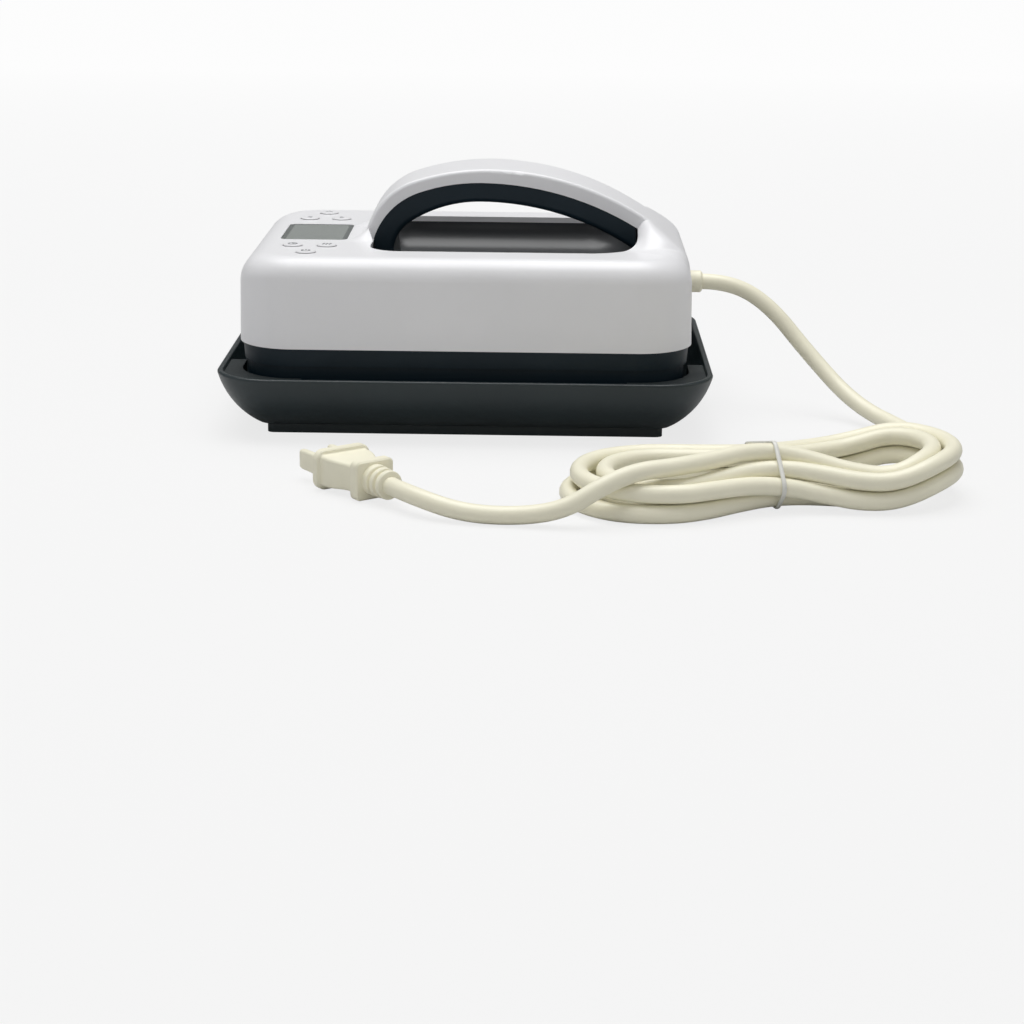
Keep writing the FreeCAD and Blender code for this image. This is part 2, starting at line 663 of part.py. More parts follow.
# ---------------------------------------------------------- shell and grip

def inset_at(level):
    """Inward lean of the shell's wall at a height."""
    return size("body_draft / shell_height") * (level - size("seam_level"))


def body_wire(level, inset):
    total = inset + inset_at(level)
    return rounded_wire(size("body_length") - 2 * total, size("body_depth") - 2 * total,
                        size("body_corner") - total, level)


def drafted_block(bottom, top, inset):
    """Block with the shell's leaning walls and its rounded top edge."""
    block = Part.makeLoft([body_wire(bottom, inset), body_wire(top, inset)], True, True)
    return round_top(block, top, size("end_round") - inset, size("side_round") - inset)


def round_top(block, level, end_round, side_round):
    """Top rounding, larger on the ends and running over along the corners."""
    base = doc.addObject("Part::Feature", "RoundingBase")
    base.Shape = block
    numbered = []
    for index, edge in enumerate(block.Edges, start=1):
        if not lies_at(edge, level):
            continue
        first, last = edge.valueAt(edge.FirstParameter), edge.valueAt(edge.LastParameter)
        if abs(edge.Length - (last - first).Length) < 1e-3:
            radius = end_round if abs(first.x - last.x) < abs(first.y - last.y) else side_round
            numbered.append((index, radius, radius))
        elif abs(first.x) > abs(last.x):
            numbered.append((index, end_round, side_round))
        else:
            numbered.append((index, side_round, end_round))
    rounding = doc.addObject("Part::Fillet", "RoundedBlock")
    rounding.Base = base
    rounding.Edges = numbered
    doc.recompute()
    return rounding.Shape.copy()


class Shoulder:
    """Broad shoulder from the handle's right end down to the shell's end.

    Its height is the shell's top plus the rise of the handle's line, times a
    bell across Y whose ridge and spread widen to the right, times a quarter
    ellipse that rounds its left edge. The right end rolls down into the wall.
    """

    SINK = 0.15
    TUCK = 1.5
    COLUMNS = 28
    STATIONS = 12
    ROLL_STEPS = 6

    def __init__(self):
        self.arch = outer_arch()
        self.base = size("top_level") - self.SINK
        self.left, self.right = size("well_right"), size("body_end - handle_end")
        self.end = size("body_end - body_draft")
        self.end_corner = size("body_corner - body_draft")
        self.side = size("body_side - body_draft")
        self.corner = size("well_corner_right")
        self.half_well = size("well_width / 2")

    def rim(self, y):
        """X of the hand well's right rim at a place along Y."""
        past = abs(y) - self.half_well + self.corner
        past = min(max(past, 0), self.corner)
        return self.left - self.corner + math.sqrt(self.corner ** 2 - past ** 2)

    def wall(self, y):
        """X of the shell's end wall at a place along Y."""
        past = max(abs(y) - self.side + self.end_corner, 0)
        return self.end - self.end_corner + math.sqrt(self.end_corner ** 2 - past ** 2)

    def bell(self, x, y):
        share = min(max((x - self.left) / (self.right - self.left), 0), 1)
        ridge = size("ridge_left") * (1 - share) + size("ridge_right") * share
        spread = size("spread_left") * (1 - share) + size("spread_right") * share
        slope = min(max((abs(y) - ridge) / (spread - ridge), 0), 1)
        return (1 + math.cos(math.pi * slope)) / 2

    def height(self, x, y):
        back = min(max(1 - (x - self.rim(y) + 0.5) / size("shoulder_lip"), 0), 0.95)
        lip = math.sqrt(1 - back * back)
        return self.base + (self.arch.right_point(x).z - self.base) * self.bell(x, y) * lip

    def slope(self, x, y):
        """Downward angle along X."""
        step = 0.05
        return math.atan((self.height(x - step, y) - self.height(x + step, y)) / (2 * step))

    def roll(self, y):
        """Start and radius of the rounding that ends tangent to the wall."""
        radius = size("end_round") + self.TUCK
        radius += (size("shoulder_roll") - radius) * self.bell(self.right, y)
        wall = self.wall(y)
        low, high = self.left, wall
        for _ in range(30):
            start = (low + high) / 2
            if start + radius * (1 - math.sin(self.slope(start, y))) < wall:
                low = start
            else:
                high = start
        return low, radius

    def line(self, y):
        """Points of the top and its rounded end at one place along Y."""
        start, radius = self.roll(y)
        left = self.left - size("shoulder_lip") - 1
        stations = [left + (start - left) * step / self.STATIONS for step in range(self.STATIONS + 1)]
        points = [Vector(x, y, self.height(x, y)) for x in stations]
        first = self.slope(start, y)
        centre = points[-1] - Vector(math.sin(first), 0, math.cos(first)) * radius
        for step in range(1, self.ROLL_STEPS + 1):
            angle = first + (math.pi / 2 - first) * step / self.ROLL_STEPS
            points.append(centre + Vector(math.sin(angle), 0, math.cos(angle)) * radius)
        return points

    def solid(self):
        """Smooth surface over the net of those lines, made a block downwards."""
        reach = size("spread_right") + 1
        places = [reach * (2 * count / self.COLUMNS - 1) for count in range(self.COLUMNS + 1)]
        net = [self.line(y) for y in places]
        knots = []
        for count in (len(net), len(net[0])):
            knots.append((range(count - 2), [4] + [1] * (count - 4) + [4]))
        (across, across_mults), (along, along_mults) = knots
        surface = Part.BSplineSurface()
        surface.buildFromPolesMultsKnots(net, across_mults, along_mults, list(across), list(along),
                                         False, False, 3, 3)
        return surface.toShape().extrude(Vector(0, 0, -2 * size("shoulder_roll")))


def foot_hollow(arch, level, radius):
    """Hollow fillet from a level face up onto the arch's tight bend: three points."""
    centre = arch.bend_centre
    reach = arch.bend + radius
    rise = level + radius - centre.z
    middle = Vector(centre.x - math.sqrt(reach * reach - rise * rise), 0, level + radius)
    touch = centre + (middle - centre) * (arch.bend / reach)
    low = middle - Vector(0, 0, radius)
    between = (low - middle) + (touch - middle)
    return [low, middle + between.normalize() * radius, touch]


def handle_cap():
    """White cap across the handle's width, its long edges rounded."""
    top, inner_top = size("top_level"), size("inner_top")
    outer, inner = outer_arch(), seam_arch()
    hollow = foot_hollow(outer, top - 0.04, size("foot_hollow"))
    tail_x, root_x = size("body_end - cap_tail"), size("well_right + cap_root")
    deep = size("top_level - end_round") + 3
    tail = outer.right_point(tail_x) - Vector(0, 0, Shoulder.SINK)
    root = [tail, Vector(tail_x + 2, 0, deep), Vector(root_x, 0, deep), inner.right_point(root_x)]
    foot = [inner.foot_point(inner_top), Vector(hollow[0].x, 0, inner_top), hollow[0]]
    over = outer.edges(hollow[2].z, tail_x)
    last = over.pop()
    crest = outer.crest
    sunk = [crest, outer.right_point((crest.x + tail_x) / 2) - Vector(0, 0, Shoulder.SINK / 4), tail]
    line = [Part.Arc(*hollow).toShape()] + over + [Part.Arc(*sunk).toShape()]
    edges = line + polyline(root) + inner.edges(inner_top, root_x) + polyline(foot)
    half = size("handle_width / 2")
    face = Part.Face(Part.Wire(Part.__sortEdges__(edges)))
    solid = face.translated(Vector(0, -half, 0)).extrude(Vector(0, 2 * half, 0))
    return solid.makeFillet(size("cap_edge"), edges_along(solid, Part.Compound(line), half))


def well_prism(shrink, bottom, top):
    return rounded_prism(size("well_right - well_left") - 2 * shrink, size("well_width") - 2 * shrink,
                         size("well_corner_left") - shrink, bottom, top, size("well_middle"),
                         size("well_corner_right") - shrink)


def button_places():
    """Expressions for each button's place on the panel."""
    left, right = "panel_x - button_pair_x", "panel_x + button_pair_x"
    return {
        "button_up": ("panel_x", "button_single_y"),
        "button_left": (left, "button_pair_y"),
        "button_right": (right, "button_pair_y"),
        "button_timer": (left, "-button_pair_y"),
        "button_heat": (right, "-button_pair_y"),
        "button_power": ("panel_x", "-button_single_y"),
    }


def housing_posts(block):
    """Screw bosses and control board posts hanging from the shell's top."""
    inner_top, high = size("inner_top"), size("top_level")
    posts = [cylinder(x, y, size("deck_top"), high, size("boss_diameter"))
             for x, y in four_corners(size("boss_x"), size("boss_y"))]
    posts += [cylinder(size("panel_x") + x, y, size("board_top"), high, size("board_post"))
              for x, y in four_corners(size("board_post_x"), size("board_post_y"))]
    length, depth = size("body_length"), size("body_depth")
    roof = box_between(-length, length, -depth, depth, inner_top + 1, high + 1)
    return [post.cut(roof).common(block) for post in posts]


def housing_holes():
    """Pilot holes, button holes, window and cord exit of the shell."""
    low, high, gap = size("inner_top") - 1, size("top_level") + 1, size("fit_gap")
    deck_top = size("deck_top")
    holes = [cylinder(x, y, deck_top, deck_top + size("screw_bite") + 4, size("screw_diameter"))
             for x, y in four_corners(size("boss_x"), size("boss_y"))]
    holes += [cylinder(size(x), size(y), low, high, size("button_diameter + 2 * button_play"))
              for x, y in button_places().values()]
    holes.append(rounded_prism(size("window_length") + 2 * gap, size("window_depth") + 2 * gap,
                               size("window_corner") + gap, low, high, size("panel_x")))
    start = Vector(size("lead_x"), 0, size("cord_level"))
    holes.append(Part.makeCylinder(size("collar_neck / 2") + gap, size("2 * cord_lead"), start,
                                   Vector(1, 0, 0)))
    return holes


def upper_housing():
    """White shell: body, shoulder and handle cap, hollow inside."""
    seam, top = size("seam_level"), size("top_level")
    block = drafted_block(seam, top, 0)
    cavity = drafted_block(seam - 1, size("inner_top"), size("shell_wall"))
    solid = block.fuse(Shoulder().solid()).cut(well_prism(0, seam, size("handle_top")))
    solid = solid.fuse(handle_cap()).cut(cavity)
    solid = solid.multiFuse(housing_posts(block)).cut(housing_holes())
    return largest(solid.removeSplitter())


def hand_grip():
    """Black grip under the cap, its left leg running down into the well."""
    gap = size("fit_gap")
    outer, inner = seam_arch(), palm_arch()
    top, inner_top = size("top_level"), size("inner_top")
    right = size("well_right - pan_lip") - gap
    low = size("well_floor + grip_foot_rise")
    rim, wall = size("well_left") + gap, size("well_left + pan_lip") + gap
    leg = [outer.foot_point(top), Vector(rim, 0, top), Vector(rim, 0, inner_top),
           Vector(wall, 0, inner_top), Vector(wall, 0, low), inner.foot_point(low)]
    palm = inner.edges(low, right)
    end = Part.makeLine(outer.right_point(right), inner.right_point(right))
    edges = outer.edges(top, right) + polyline(leg) + palm + [end]
    half = size("handle_width / 2 - grip_inset")
    face = Part.Face(Part.Wire(Part.__sortEdges__(edges)))
    solid = face.translated(Vector(0, -half, 0)).extrude(Vector(0, 2 * half, 0))
    solid = solid.makeFillet(size("grip_round"), edges_along(solid, Part.Compound(palm), half))
    return largest(solid.cut(well_pan()))


def pan_block(grow, bottom, top):
    """The hand well's room, grown by a wall, with a rounded floor."""
    shrink = size("pan_lip") - grow
    block = well_prism(shrink, bottom, top)
    room = min(size("well_corner_left") - shrink, top - bottom) - 0.1
    return block.makeFillet(min(size("well_round") + grow, room), flat_edges(block, bottom))


def well_pan():
    """Liner of the hand well: flange, walls and a rounded floor."""
    wall, top, floor = size("pan_wall"), size("inner_top"), size("well_floor")
    outer = pan_block(wall, floor - wall, top)
    flange = well_prism(-size("pan_flange"), top - wall, top)
    posts = [cylinder(size("well_middle") + x, y, size("power_top"), floor - wall / 2,
                      size("post_diameter"))
             for x, y in four_corners(size("post_x"), size("post_y"))]
    room = pan_block(0, floor, top)
    return largest(outer.fuse([flange] + posts).cut(room).removeSplitter())


def skirt_wire(level, inset):
    return rounded_wire(size("body_length") - 2 * inset, size("body_depth") - 2 * inset,
                        size("body_corner") - inset, level)


def skirt_prism(inset, bottom, top):
    return Part.Face(skirt_wire(bottom, inset)).extrude(Vector(0, 0, top - bottom))


def lower_housing():
    """Black skirt: leaning band, tucked wall and an inner deck with screw holes."""
    seam, bottom = size("seam_level"), size("skirt_bottom")
    band_bottom = seam - size("skirt_band")
    inset, wall = size("skirt_inset"), size("shell_wall")
    deep = inset + size("skirt_tuck")
    band = Part.makeLoft([skirt_wire(band_bottom, inset + size("skirt_lean")), skirt_wire(seam, inset)],
                         True, True)
    tucked = skirt_prism(deep, bottom, band_bottom + 1)
    tucked = tucked.makeFillet(size("skirt_edge"), flat_edges(tucked, bottom))
    hollow = skirt_prism(deep + wall, bottom - 1, seam + 1)
    deck_level, deck_top = size("deck_level"), size("deck_top")
    deck = skirt_prism(deep + wall / 2, deck_level, deck_top)
    opening = rounded_prism(size("body_length - 2 * deck_ledge_x"), size("body_depth - 2 * deck_ledge_y"),
                            size("deck_corner"), deck_level, deck_top)
    holes = [cylinder(x, y, deck_level, deck_top, size("screw_diameter + 2 * screw_play"))
             for x, y in four_corners(size("boss_x"), size("boss_y"))]
    solid = band.fuse(tucked).cut(hollow).fuse(deck.cut([opening] + holes))
    return largest(solid.removeSplitter())


def build_shell():
    feature("upper_housing", upper_housing())
    feature("hand_grip", hand_grip())
    feature("well_pan", well_pan())
    feature("lower_housing", lower_housing())


# ----------------------------------------------------------------- heater

def heating_element():
    """U-shaped sheathed element lying on the plate, open towards +X."""
    half_x, half_y = size("plate_length / 2"), size("plate_depth / 2")
    x, y = half_x - size("element_inset"), half_y - size("element_inset")
    bend = size("element_bend")
    z = size("plate_top + element_diameter / 2 + fit_gap / 3")
    first = Vector(half_x - size("element_end"), y, z)
    edges = []
    start = first
    for side, turn in ((1, 90), (-1, 180)):
        centre = Vector(bend - x, side * (y - bend), z)
        arc = [centre + polar(bend, turn + part) for part in (0, 45, 90)]
        edges += [Part.makeLine(start, arc[0]), Part.Arc(*arc).toShape()]
        start = arc[2]
    edges.append(Part.makeLine(start, Vector(first.x, -y, z)))
    ring = Part.Wire(Part.makeCircle(size("element_diameter / 2"), first, Vector(1, 0, 0)))
    return largest(Part.Wire(edges).makePipeShell([ring], True, False))


CORNER_NAMES = {"back_right": ("", ""), "front_right": ("", "-"),
                "back_left": ("-", ""), "front_left": ("-", "-")}


def build_standoffs():
    """Turned spacers between plate and deck, with a neck through the shield."""
    wide, thin = size("standoff_diameter / 2"), size("standoff_neck / 2")
    step, rise = size("shield_level - plate_top"), size("deck_level - plate_top")
    profile = [(0, 0), (wide, 0), (wide, step), (thin, step), (thin, rise), (0, rise)]
    for name, (side_x, side_y) in CORNER_NAMES.items():
        revolve_body(f"standoff_{name}", profile, side_x + "standoff_x", side_y + "standoff_y",
                     "plate_top")


def build_case_screws():
    """Screws from below: a bevelled head, a shaft and a short point."""
    shaft, head = size("screw_diameter / 2") - 0.05, size("screw_head / 2")
    seat, edge = size("screw_head_height"), size("screw_head_height / 3")
    end = seat + size("deck_thickness + screw_bite")
    profile = [(0, 0), (head - edge, 0), (head, edge), (head, seat), (shaft, seat), (shaft, end),
               (0, end + shaft)]
    for name, (side_x, side_y) in CORNER_NAMES.items():
        revolve_body(f"case_screw_{name}", profile, side_x + "boss_x", side_y + "boss_y",
                     "deck_level - screw_head_height")


def build_heater():
    plate = plate_body("heating_plate", "plate_length", "plate_depth", "plate_corner",
                       "plate_thickness", z="plate_level")
    chamfer_bottom(plate, "plate_chamfer")
    feature("heating_element", heating_element())
    plate_body("insulation_blanket", "plate_length - 2 * blanket_inset",
               "2 * standoff_y - standoff_diameter - 2 * blanket_gap", "blanket_corner",
               "shield_level - fit_gap - element_top", z="element_top",
               holes=[("0", "0", "cutoff_diameter + 2 * cutoff_room")])
    places = [(side_x + "standoff_x", side_y + "standoff_y") for side_x, side_y in CORNER_NAMES.values()]
    plate_body("heat_shield", "plate_length - 2 * shield_inset",
               "2 * standoff_y + standoff_diameter + 2 * shield_edge", "shield_corner",
               "shield_sheet", z="shield_level",
               holes=[(x, y, "standoff_neck + 2 * fit_gap") for x, y in places])
    build_standoffs()
    wide, flange = size("cutoff_diameter / 2"), size("cutoff_flange")
    rise = size("shield_level - plate_top") - 0.5
    revolve_body("thermal_cutoff", [(0, 0), (wide, 0), (wide, flange), (wide - 1.5, flange),
                                    (wide - 1.5, rise), (0, rise)], z="plate_top")
    box_piece("temperature_sensor", "sensor_length", "sensor_depth", "sensor_height", "sensor_place",
              "0", "plate_top")
    build_case_screws()


# ------------------------------------------------------------ electronics

def control_board():
    """Long board under the panel with one push switch under each button."""
    level, top, middle = size("board_level"), size("switch_top"), size("panel_x")
    half_x, half_y = size("button_pair_x + board_edge_x"), size("button_single_y + board_edge_y")
    board = box_between(middle - half_x, middle + half_x, -half_y, half_y, level, size("board_top"))
    side = size("switch_side / 2")
    switches = []
    for x, y in ((size(x), size(y)) for x, y in button_places().values()):
        switches.append(box_between(x - side, x + side, y - side, y + side, level, top - 0.8))
        switches.append(cylinder(x, y, level, top, size("switch_plunger")))
    return largest(board.multiFuse(switches).removeSplitter())


def button_profile():
    """Stem on the switch, retaining flange under the panel and a crowned cap."""
    radius, stem_radius = size("button_diameter / 2"), size("button_stem")
    flange_radius = radius + size("button_flange")
    top, edge = size("top_level + button_rise"), 0.35
    flange = size("inner_top") - 0.3
    stem = size("switch_top + button_travel") + 0.1
    return [(0, stem), (stem_radius, stem), (stem_radius, flange - 1), (flange_radius, flange - 1),
            (flange_radius, flange), (radius, flange), (radius, top - edge), (radius - edge, top),
            (0, top + 0.1)]


def cord_collar():
    """Collar, neck and inner flange of the cord's exit, turned about X."""
    gap, collar, neck = size("fit_gap"), size("collar_diameter / 2"), size("collar_neck / 2")
    wall = size("body_end") - inset_at(size("cord_level"))
    lean = collar * size("body_draft / shell_height")
    outside = wall + lean + gap
    inside = wall - size("shell_wall") - lean - gap
    flange, thick = neck + size("collar_flange"), size("collar_flange")
    lead, start, end = size("cord_diameter / 2") - 0.5, size("lead_x"), size("cord_exit")
    edge = size("collar_step")
    profile = [(0, start), (lead, start), (lead, inside - thick), (flange, inside - thick),
               (flange, inside), (neck, inside), (neck, outside), (collar, outside),
               (collar, end - edge), (collar - edge, end), (0, end)]
    return revolve_along_x(profile).translated(Vector(0, 0, size("cord_level")))


def build_panel():
    """Board, display and push buttons of the control panel."""
    feature("control_board", control_board())
    seat = "inner_top - fit_gap"
    plate_body("display_module", "window_length + 2 * module_edge", "window_depth + 2 * module_edge",
               "window_corner / 3", f"{seat} - board_top", x="panel_x", z="board_top")
    plate_body("display_window", "window_length", "window_depth", "window_corner",
               "shell_wall + fit_gap - window_sink", x="panel_x", z=seat)
    radius, height = size("buzzer_diameter / 2"), size("buzzer_height")
    revolve_body("buzzer", [(0, 0), (radius - 0.5, 0), (radius, 0.5), (radius, height), (0, height)],
                 "panel_x", "0", "board_level - buzzer_height")
    for label, (x, y) in button_places().items():
        revolve_body(label, button_profile(), x, y)


def build_power():
    """Power board under the well with its parts, and the cord's collar."""
    plate_body("power_board", "power_right - power_left", "power_board_depth", "power_board_corner",
               "board_thickness", x="(power_left + power_right) / 2", z="power_level")
    places = {
        "terminal": ("lead_x - terminal_length / 2", "0", "power_top"),
        "tilt": ("transformer_x", "0", "power_top"),
        "relay": ("power_right - relay_inset", "-relay_front", "power_level - relay_height"),
        "transformer": ("transformer_x", "transformer_back", "power_level - transformer_height"),
        "capacitor": ("power_right - capacitor_inset", "capacitor_back",
                      "power_level - capacitor_height"),
    }
    labels = {"terminal": "terminal_block", "tilt": "tilt_switch"}
    for part, (x, y, level) in places.items():
        box_piece(labels.get(part, part), f"{part}_length", f"{part}_depth", f"{part}_height",
                  x, y, level)
    feature("cord_collar", cord_collar())


# ------------------------------------------------------------------- cord

FLOOR_REST = 0.1
HANK_PLACE = Placement(Vector(118, -152, 0), Rotation(Vector(0, 0, 1), 12))
PLUG_END = Vector(-24, -172, 8)
PLUG_TURN = Rotation(Vector(0, 0, 1), 127)


def route_wire(points):
    """Straight runs joined by tangent arcs, each as large as its runs allow."""
    edges = []
    radii = []
    start = points[0]
    for before, corner, after in zip(points, points[1:], points[2:]):
        run_in, run_out = corner - before, after - corner
        turn = run_in.getAngle(run_out)
        cut = 0.45 * min(run_in.Length, run_out.Length)
        radius = cut / math.tan(turn / 2)
        enter = corner - run_in * (cut / run_in.Length)
        leave = corner + run_out * (cut / run_out.Length)
        inward = (enter + leave) * 0.5 - corner
        depth = radius / math.cos(turn / 2) - radius
        middle = corner + inward * (depth / inward.Length)
        edges.append(Part.LineSegment(start, enter).toShape())
        edges.append(Part.Arc(enter, middle, leave).toShape())
        radii.append(radius)
        start = leave
    edges.append(Part.LineSegment(start, points[-1]).toShape())
    return Part.Wire(edges), radii


def cord_tube(label, points):
    wire, radii = route_wire(points)
    diameter = size("cord_diameter")
    ring = Part.Wire(Part.makeCircle(diameter / 2, points[0], points[1] - points[0]))
    tube = largest(wire.makePipeShell([ring], True, False))
    expected = math.pi * diameter * diameter / 4 * wire.Length
    print(label, "length", round(wire.Length, 1), "radii", [round(r, 1) for r in radii],
          "volume share", round(tube.Volume / expected, 4))
    return feature(label, tube)


def feed_points():
    """From the collar down to the floor and round to the hank's right end."""
    rest = size("cord_diameter / 2") + FLOOR_REST
    start = Vector(size("cord_exit"), 0, size("cord_level"))
    return [start, start + Vector(18, 0, 0), Vector(140, -4, 43), Vector(156, -14, 22),
            Vector(172, -32, 7), Vector(188, -60, rest), Vector(196, -90, rest),
            Vector(191, -118, rest + 1), Vector(176, -138, rest + 4)]


def tail_points():
    """From the plug's sleeve round to the hank's left end."""
    rest = size("cord_diameter / 2") + FLOOR_REST
    heading = PLUG_TURN.multVec(Vector(-1, 0, 0))
    return [PLUG_END, PLUG_END + heading * 16, Vector(4, -193, rest + 0.8),
            Vector(26, -193, rest), Vector(46, -187, 6), Vector(64, -178, 11)]


def hank():
    """Outer shape of the tied hank, pinched at the tie."""
    reach, radius, waist = size("hank_reach"), size("hank_end"), size("hank_waist")
    join = size("hank_join")
    x, y = reach - radius - join, math.sqrt(radius * radius - join * join)
    corners = [Vector(-x, -y, 0), Vector(x, -y, 0), Vector(x, y, 0), Vector(-x, y, 0)]
    middles = [Vector(0, -waist, 0), Vector(reach, 0, 0), Vector(0, waist, 0), Vector(-reach, 0, 0)]
    edges = [Part.Arc(corners[side], middles[side], corners[(side + 1) % 4]).toShape()
             for side in range(4)]
    solid = Part.Face(Part.Wire(edges)).extrude(Vector(0, 0, size("hank_height")))
    solid = solid.translated(Vector(0, 0, size("tie_sheet")))
    rounding = [e for e in solid.Edges if e.BoundBox.ZMax - e.BoundBox.ZMin < 1e-4]
    return solid.makeFillet(size("hank_edge"), rounding)


def tie_block(half_x, grow, bottom):
    """Block around the hank's waist with rounded lengthwise edges."""
    half_y = size("hank_waist") + grow
    block = box_between(-half_x, half_x, -half_y, half_y, bottom,
                        size("tie_sheet + hank_height") + grow)
    lengthwise = [e for e in block.Edges if e.BoundBox.XMax - e.BoundBox.XMin > half_x]
    return block.makeFillet(size("hank_edge") + max(grow, 0), lengthwise)


def tie():
    """Thin plastic tie around the pinched middle of the hank."""
    sheet_thickness, half = size("tie_sheet"), size("tie_width / 2")
    return tie_block(half, sheet_thickness, 0).cut(tie_block(half + 1, 0.02, sheet_thickness))


# The plug lies along its own +X: sleeve, rear block, waisted grip, flange, pins.
SLEEVE_LENGTH = 10.5
REAR_END = 17
FLANGE_START = 33
FLANGE_END = 36.4


def upright_wire(x, across, tall, corner):
    """Rounded rectangle standing across the plug's axis."""
    wire = rounded_wire(tall, across, corner, 0)
    return wire.rotated(Vector(0, 0, 0), Vector(0, 1, 0), 90).translated(Vector(x, 0, 0))


def upright_plate(start, end, across, tall, corner):
    return Part.Face(upright_wire(start, across, tall, corner)).extrude(Vector(end - start, 0, 0))


def plug_body():
    """Two-pin plug: rear block, waisted grip that widens forwards, and flange."""
    rear, flange, tall = size("plug_rear"), size("plug_flange"), size("plug_height")
    corner, middle = size("plug_round"), (REAR_END + FLANGE_START) / 2
    grip = Part.makeLoft([upright_wire(REAR_END, rear - 2, tall - 2.4, corner),
                          upright_wire(middle, rear + 3, tall - 0.4, corner),
                          upright_wire(FLANGE_START, flange - 2.8, tall, corner)], True, False)
    block = upright_plate(SLEEVE_LENGTH, REAR_END, rear, tall, corner + 0.4)
    front = upright_plate(FLANGE_START, FLANGE_END, flange, tall + 0.6, 2.5 * corner)
    return grip.fuse([block, front]).removeSplitter()


def plug_sleeve():
    """Ribbed bend relief behind the plug, widening towards it."""
    cord = size("cord_diameter / 2")
    rib_width, groove, chamfer = SLEEVE_LENGTH / 4.4, SLEEVE_LENGTH / 8, 0.5
    profile = [(0, 0)]
    start = 0
    for outer, inner in ((cord + 2.1, cord + 0.9), (cord + 2.35, cord + 1.1)):
        end = start + rib_width
        profile += [(outer - chamfer, start), (outer, start + chamfer), (outer, end)]
        start = end + groove
        profile += [(inner, end + chamfer), (inner, start - chamfer)]
    outer = cord + 2.6
    profile += [(outer - chamfer, start), (outer, start + chamfer), (outer, SLEEVE_LENGTH)]
    return revolve_along_x(profile + [(0, SLEEVE_LENGTH)])


def plug_blade(side):
    """Flat pin with a chamfered tip."""
    y, half_y = side * size("pin_pitch / 2"), size("pin_thickness / 2")
    half_z, tip = size("pin_height / 2"), FLANGE_END + size("pin_length")
    blade = box_between(FLANGE_END, tip, y - half_y, y + half_y, -half_z, half_z)
    edges = [e for e in blade.Edges
             if e.BoundBox.XMin > tip - 0.1 and e.BoundBox.ZMax - e.BoundBox.ZMin < 1e-4]
    return blade.makeChamfer(half_y * 0.6, edges)


def build_cord():
    plug_place = Placement(PLUG_END, PLUG_TURN)
    cord_tube("power_cord", feed_points())
    feature("cord_hank", hank(), HANK_PLACE)
    feature("cord_tie", tie(), HANK_PLACE)
    cord_tube("cord_tail", tail_points())
    feature("plug_sleeve", plug_sleeve(), plug_place)
    feature("plug_body", plug_body(), plug_place)
    feature("plug_blade_left", plug_blade(1), plug_place)
    feature("plug_blade_right", plug_blade(-1), plug_place)


def finish():
    doc.recompute()
    for item in doc.Objects:
        if "Invalid" in item.State or "Error" in item.State:
            raise RuntimeError(f"{item.Label} failed: {item.State}")
    for piece in pieces:
        if piece.Shape.isNull() or not piece.Shape.isValid():
            raise RuntimeError(f"{piece.Label} has no valid shape")
    os.makedirs("parts", exist_ok=True)
    for piece in pieces:
        piece.Shape.exportStep(f"parts/{piece.Label}.step")


build_tray()
build_shell()
build_heater()
build_panel()
build_power()
build_cord()
finish()
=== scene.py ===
import json
import math

import bpy
import numpy as np
from bpy.props import FloatProperty, FloatVectorProperty, IntProperty, PointerProperty
from bpy.types import Operator, Panel, PropertyGroup
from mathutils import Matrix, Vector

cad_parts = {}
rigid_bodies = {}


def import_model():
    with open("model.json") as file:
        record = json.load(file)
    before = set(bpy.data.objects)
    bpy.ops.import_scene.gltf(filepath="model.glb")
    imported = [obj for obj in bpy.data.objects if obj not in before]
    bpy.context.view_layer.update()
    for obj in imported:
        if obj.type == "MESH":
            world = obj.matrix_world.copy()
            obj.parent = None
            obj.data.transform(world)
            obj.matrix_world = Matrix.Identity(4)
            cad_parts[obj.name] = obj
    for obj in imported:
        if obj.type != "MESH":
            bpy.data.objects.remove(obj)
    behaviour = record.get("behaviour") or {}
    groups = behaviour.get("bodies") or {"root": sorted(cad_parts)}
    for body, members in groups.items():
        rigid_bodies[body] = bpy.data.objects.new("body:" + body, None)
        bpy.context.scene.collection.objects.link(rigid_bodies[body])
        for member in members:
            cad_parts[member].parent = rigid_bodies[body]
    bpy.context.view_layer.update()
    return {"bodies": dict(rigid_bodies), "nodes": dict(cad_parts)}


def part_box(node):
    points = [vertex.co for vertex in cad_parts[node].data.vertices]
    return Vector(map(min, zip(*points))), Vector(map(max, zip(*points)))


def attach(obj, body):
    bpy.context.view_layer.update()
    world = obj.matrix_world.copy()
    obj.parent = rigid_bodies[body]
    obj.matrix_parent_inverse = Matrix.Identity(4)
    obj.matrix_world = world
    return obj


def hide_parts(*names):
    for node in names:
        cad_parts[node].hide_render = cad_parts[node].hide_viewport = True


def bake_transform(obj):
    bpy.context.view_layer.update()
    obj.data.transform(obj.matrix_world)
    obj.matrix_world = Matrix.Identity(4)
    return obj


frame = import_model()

bl_info = {
    "name": "Mini heat press",
    "version": (1, 0, 0),
    "blender": (4, 5, 0),
    "location": "View3D > Sidebar > Heat press",
    "description": "Dresses the packed heat press: finishes, panel symbols, cord and stage",
    "category": "Object",
}

MM = 0.001


def tint(red, green, blue):
    """Linear colour of an sRGB colour given in 0 to 255."""
    levels = np.array([red, green, blue]) / 255
    linear = np.where(levels <= 0.04045, levels / 12.92, ((levels + 0.055) / 1.055) ** 2.4)
    return tuple(float(level) for level in linear)


# ------------------------------------------------------------ meshes

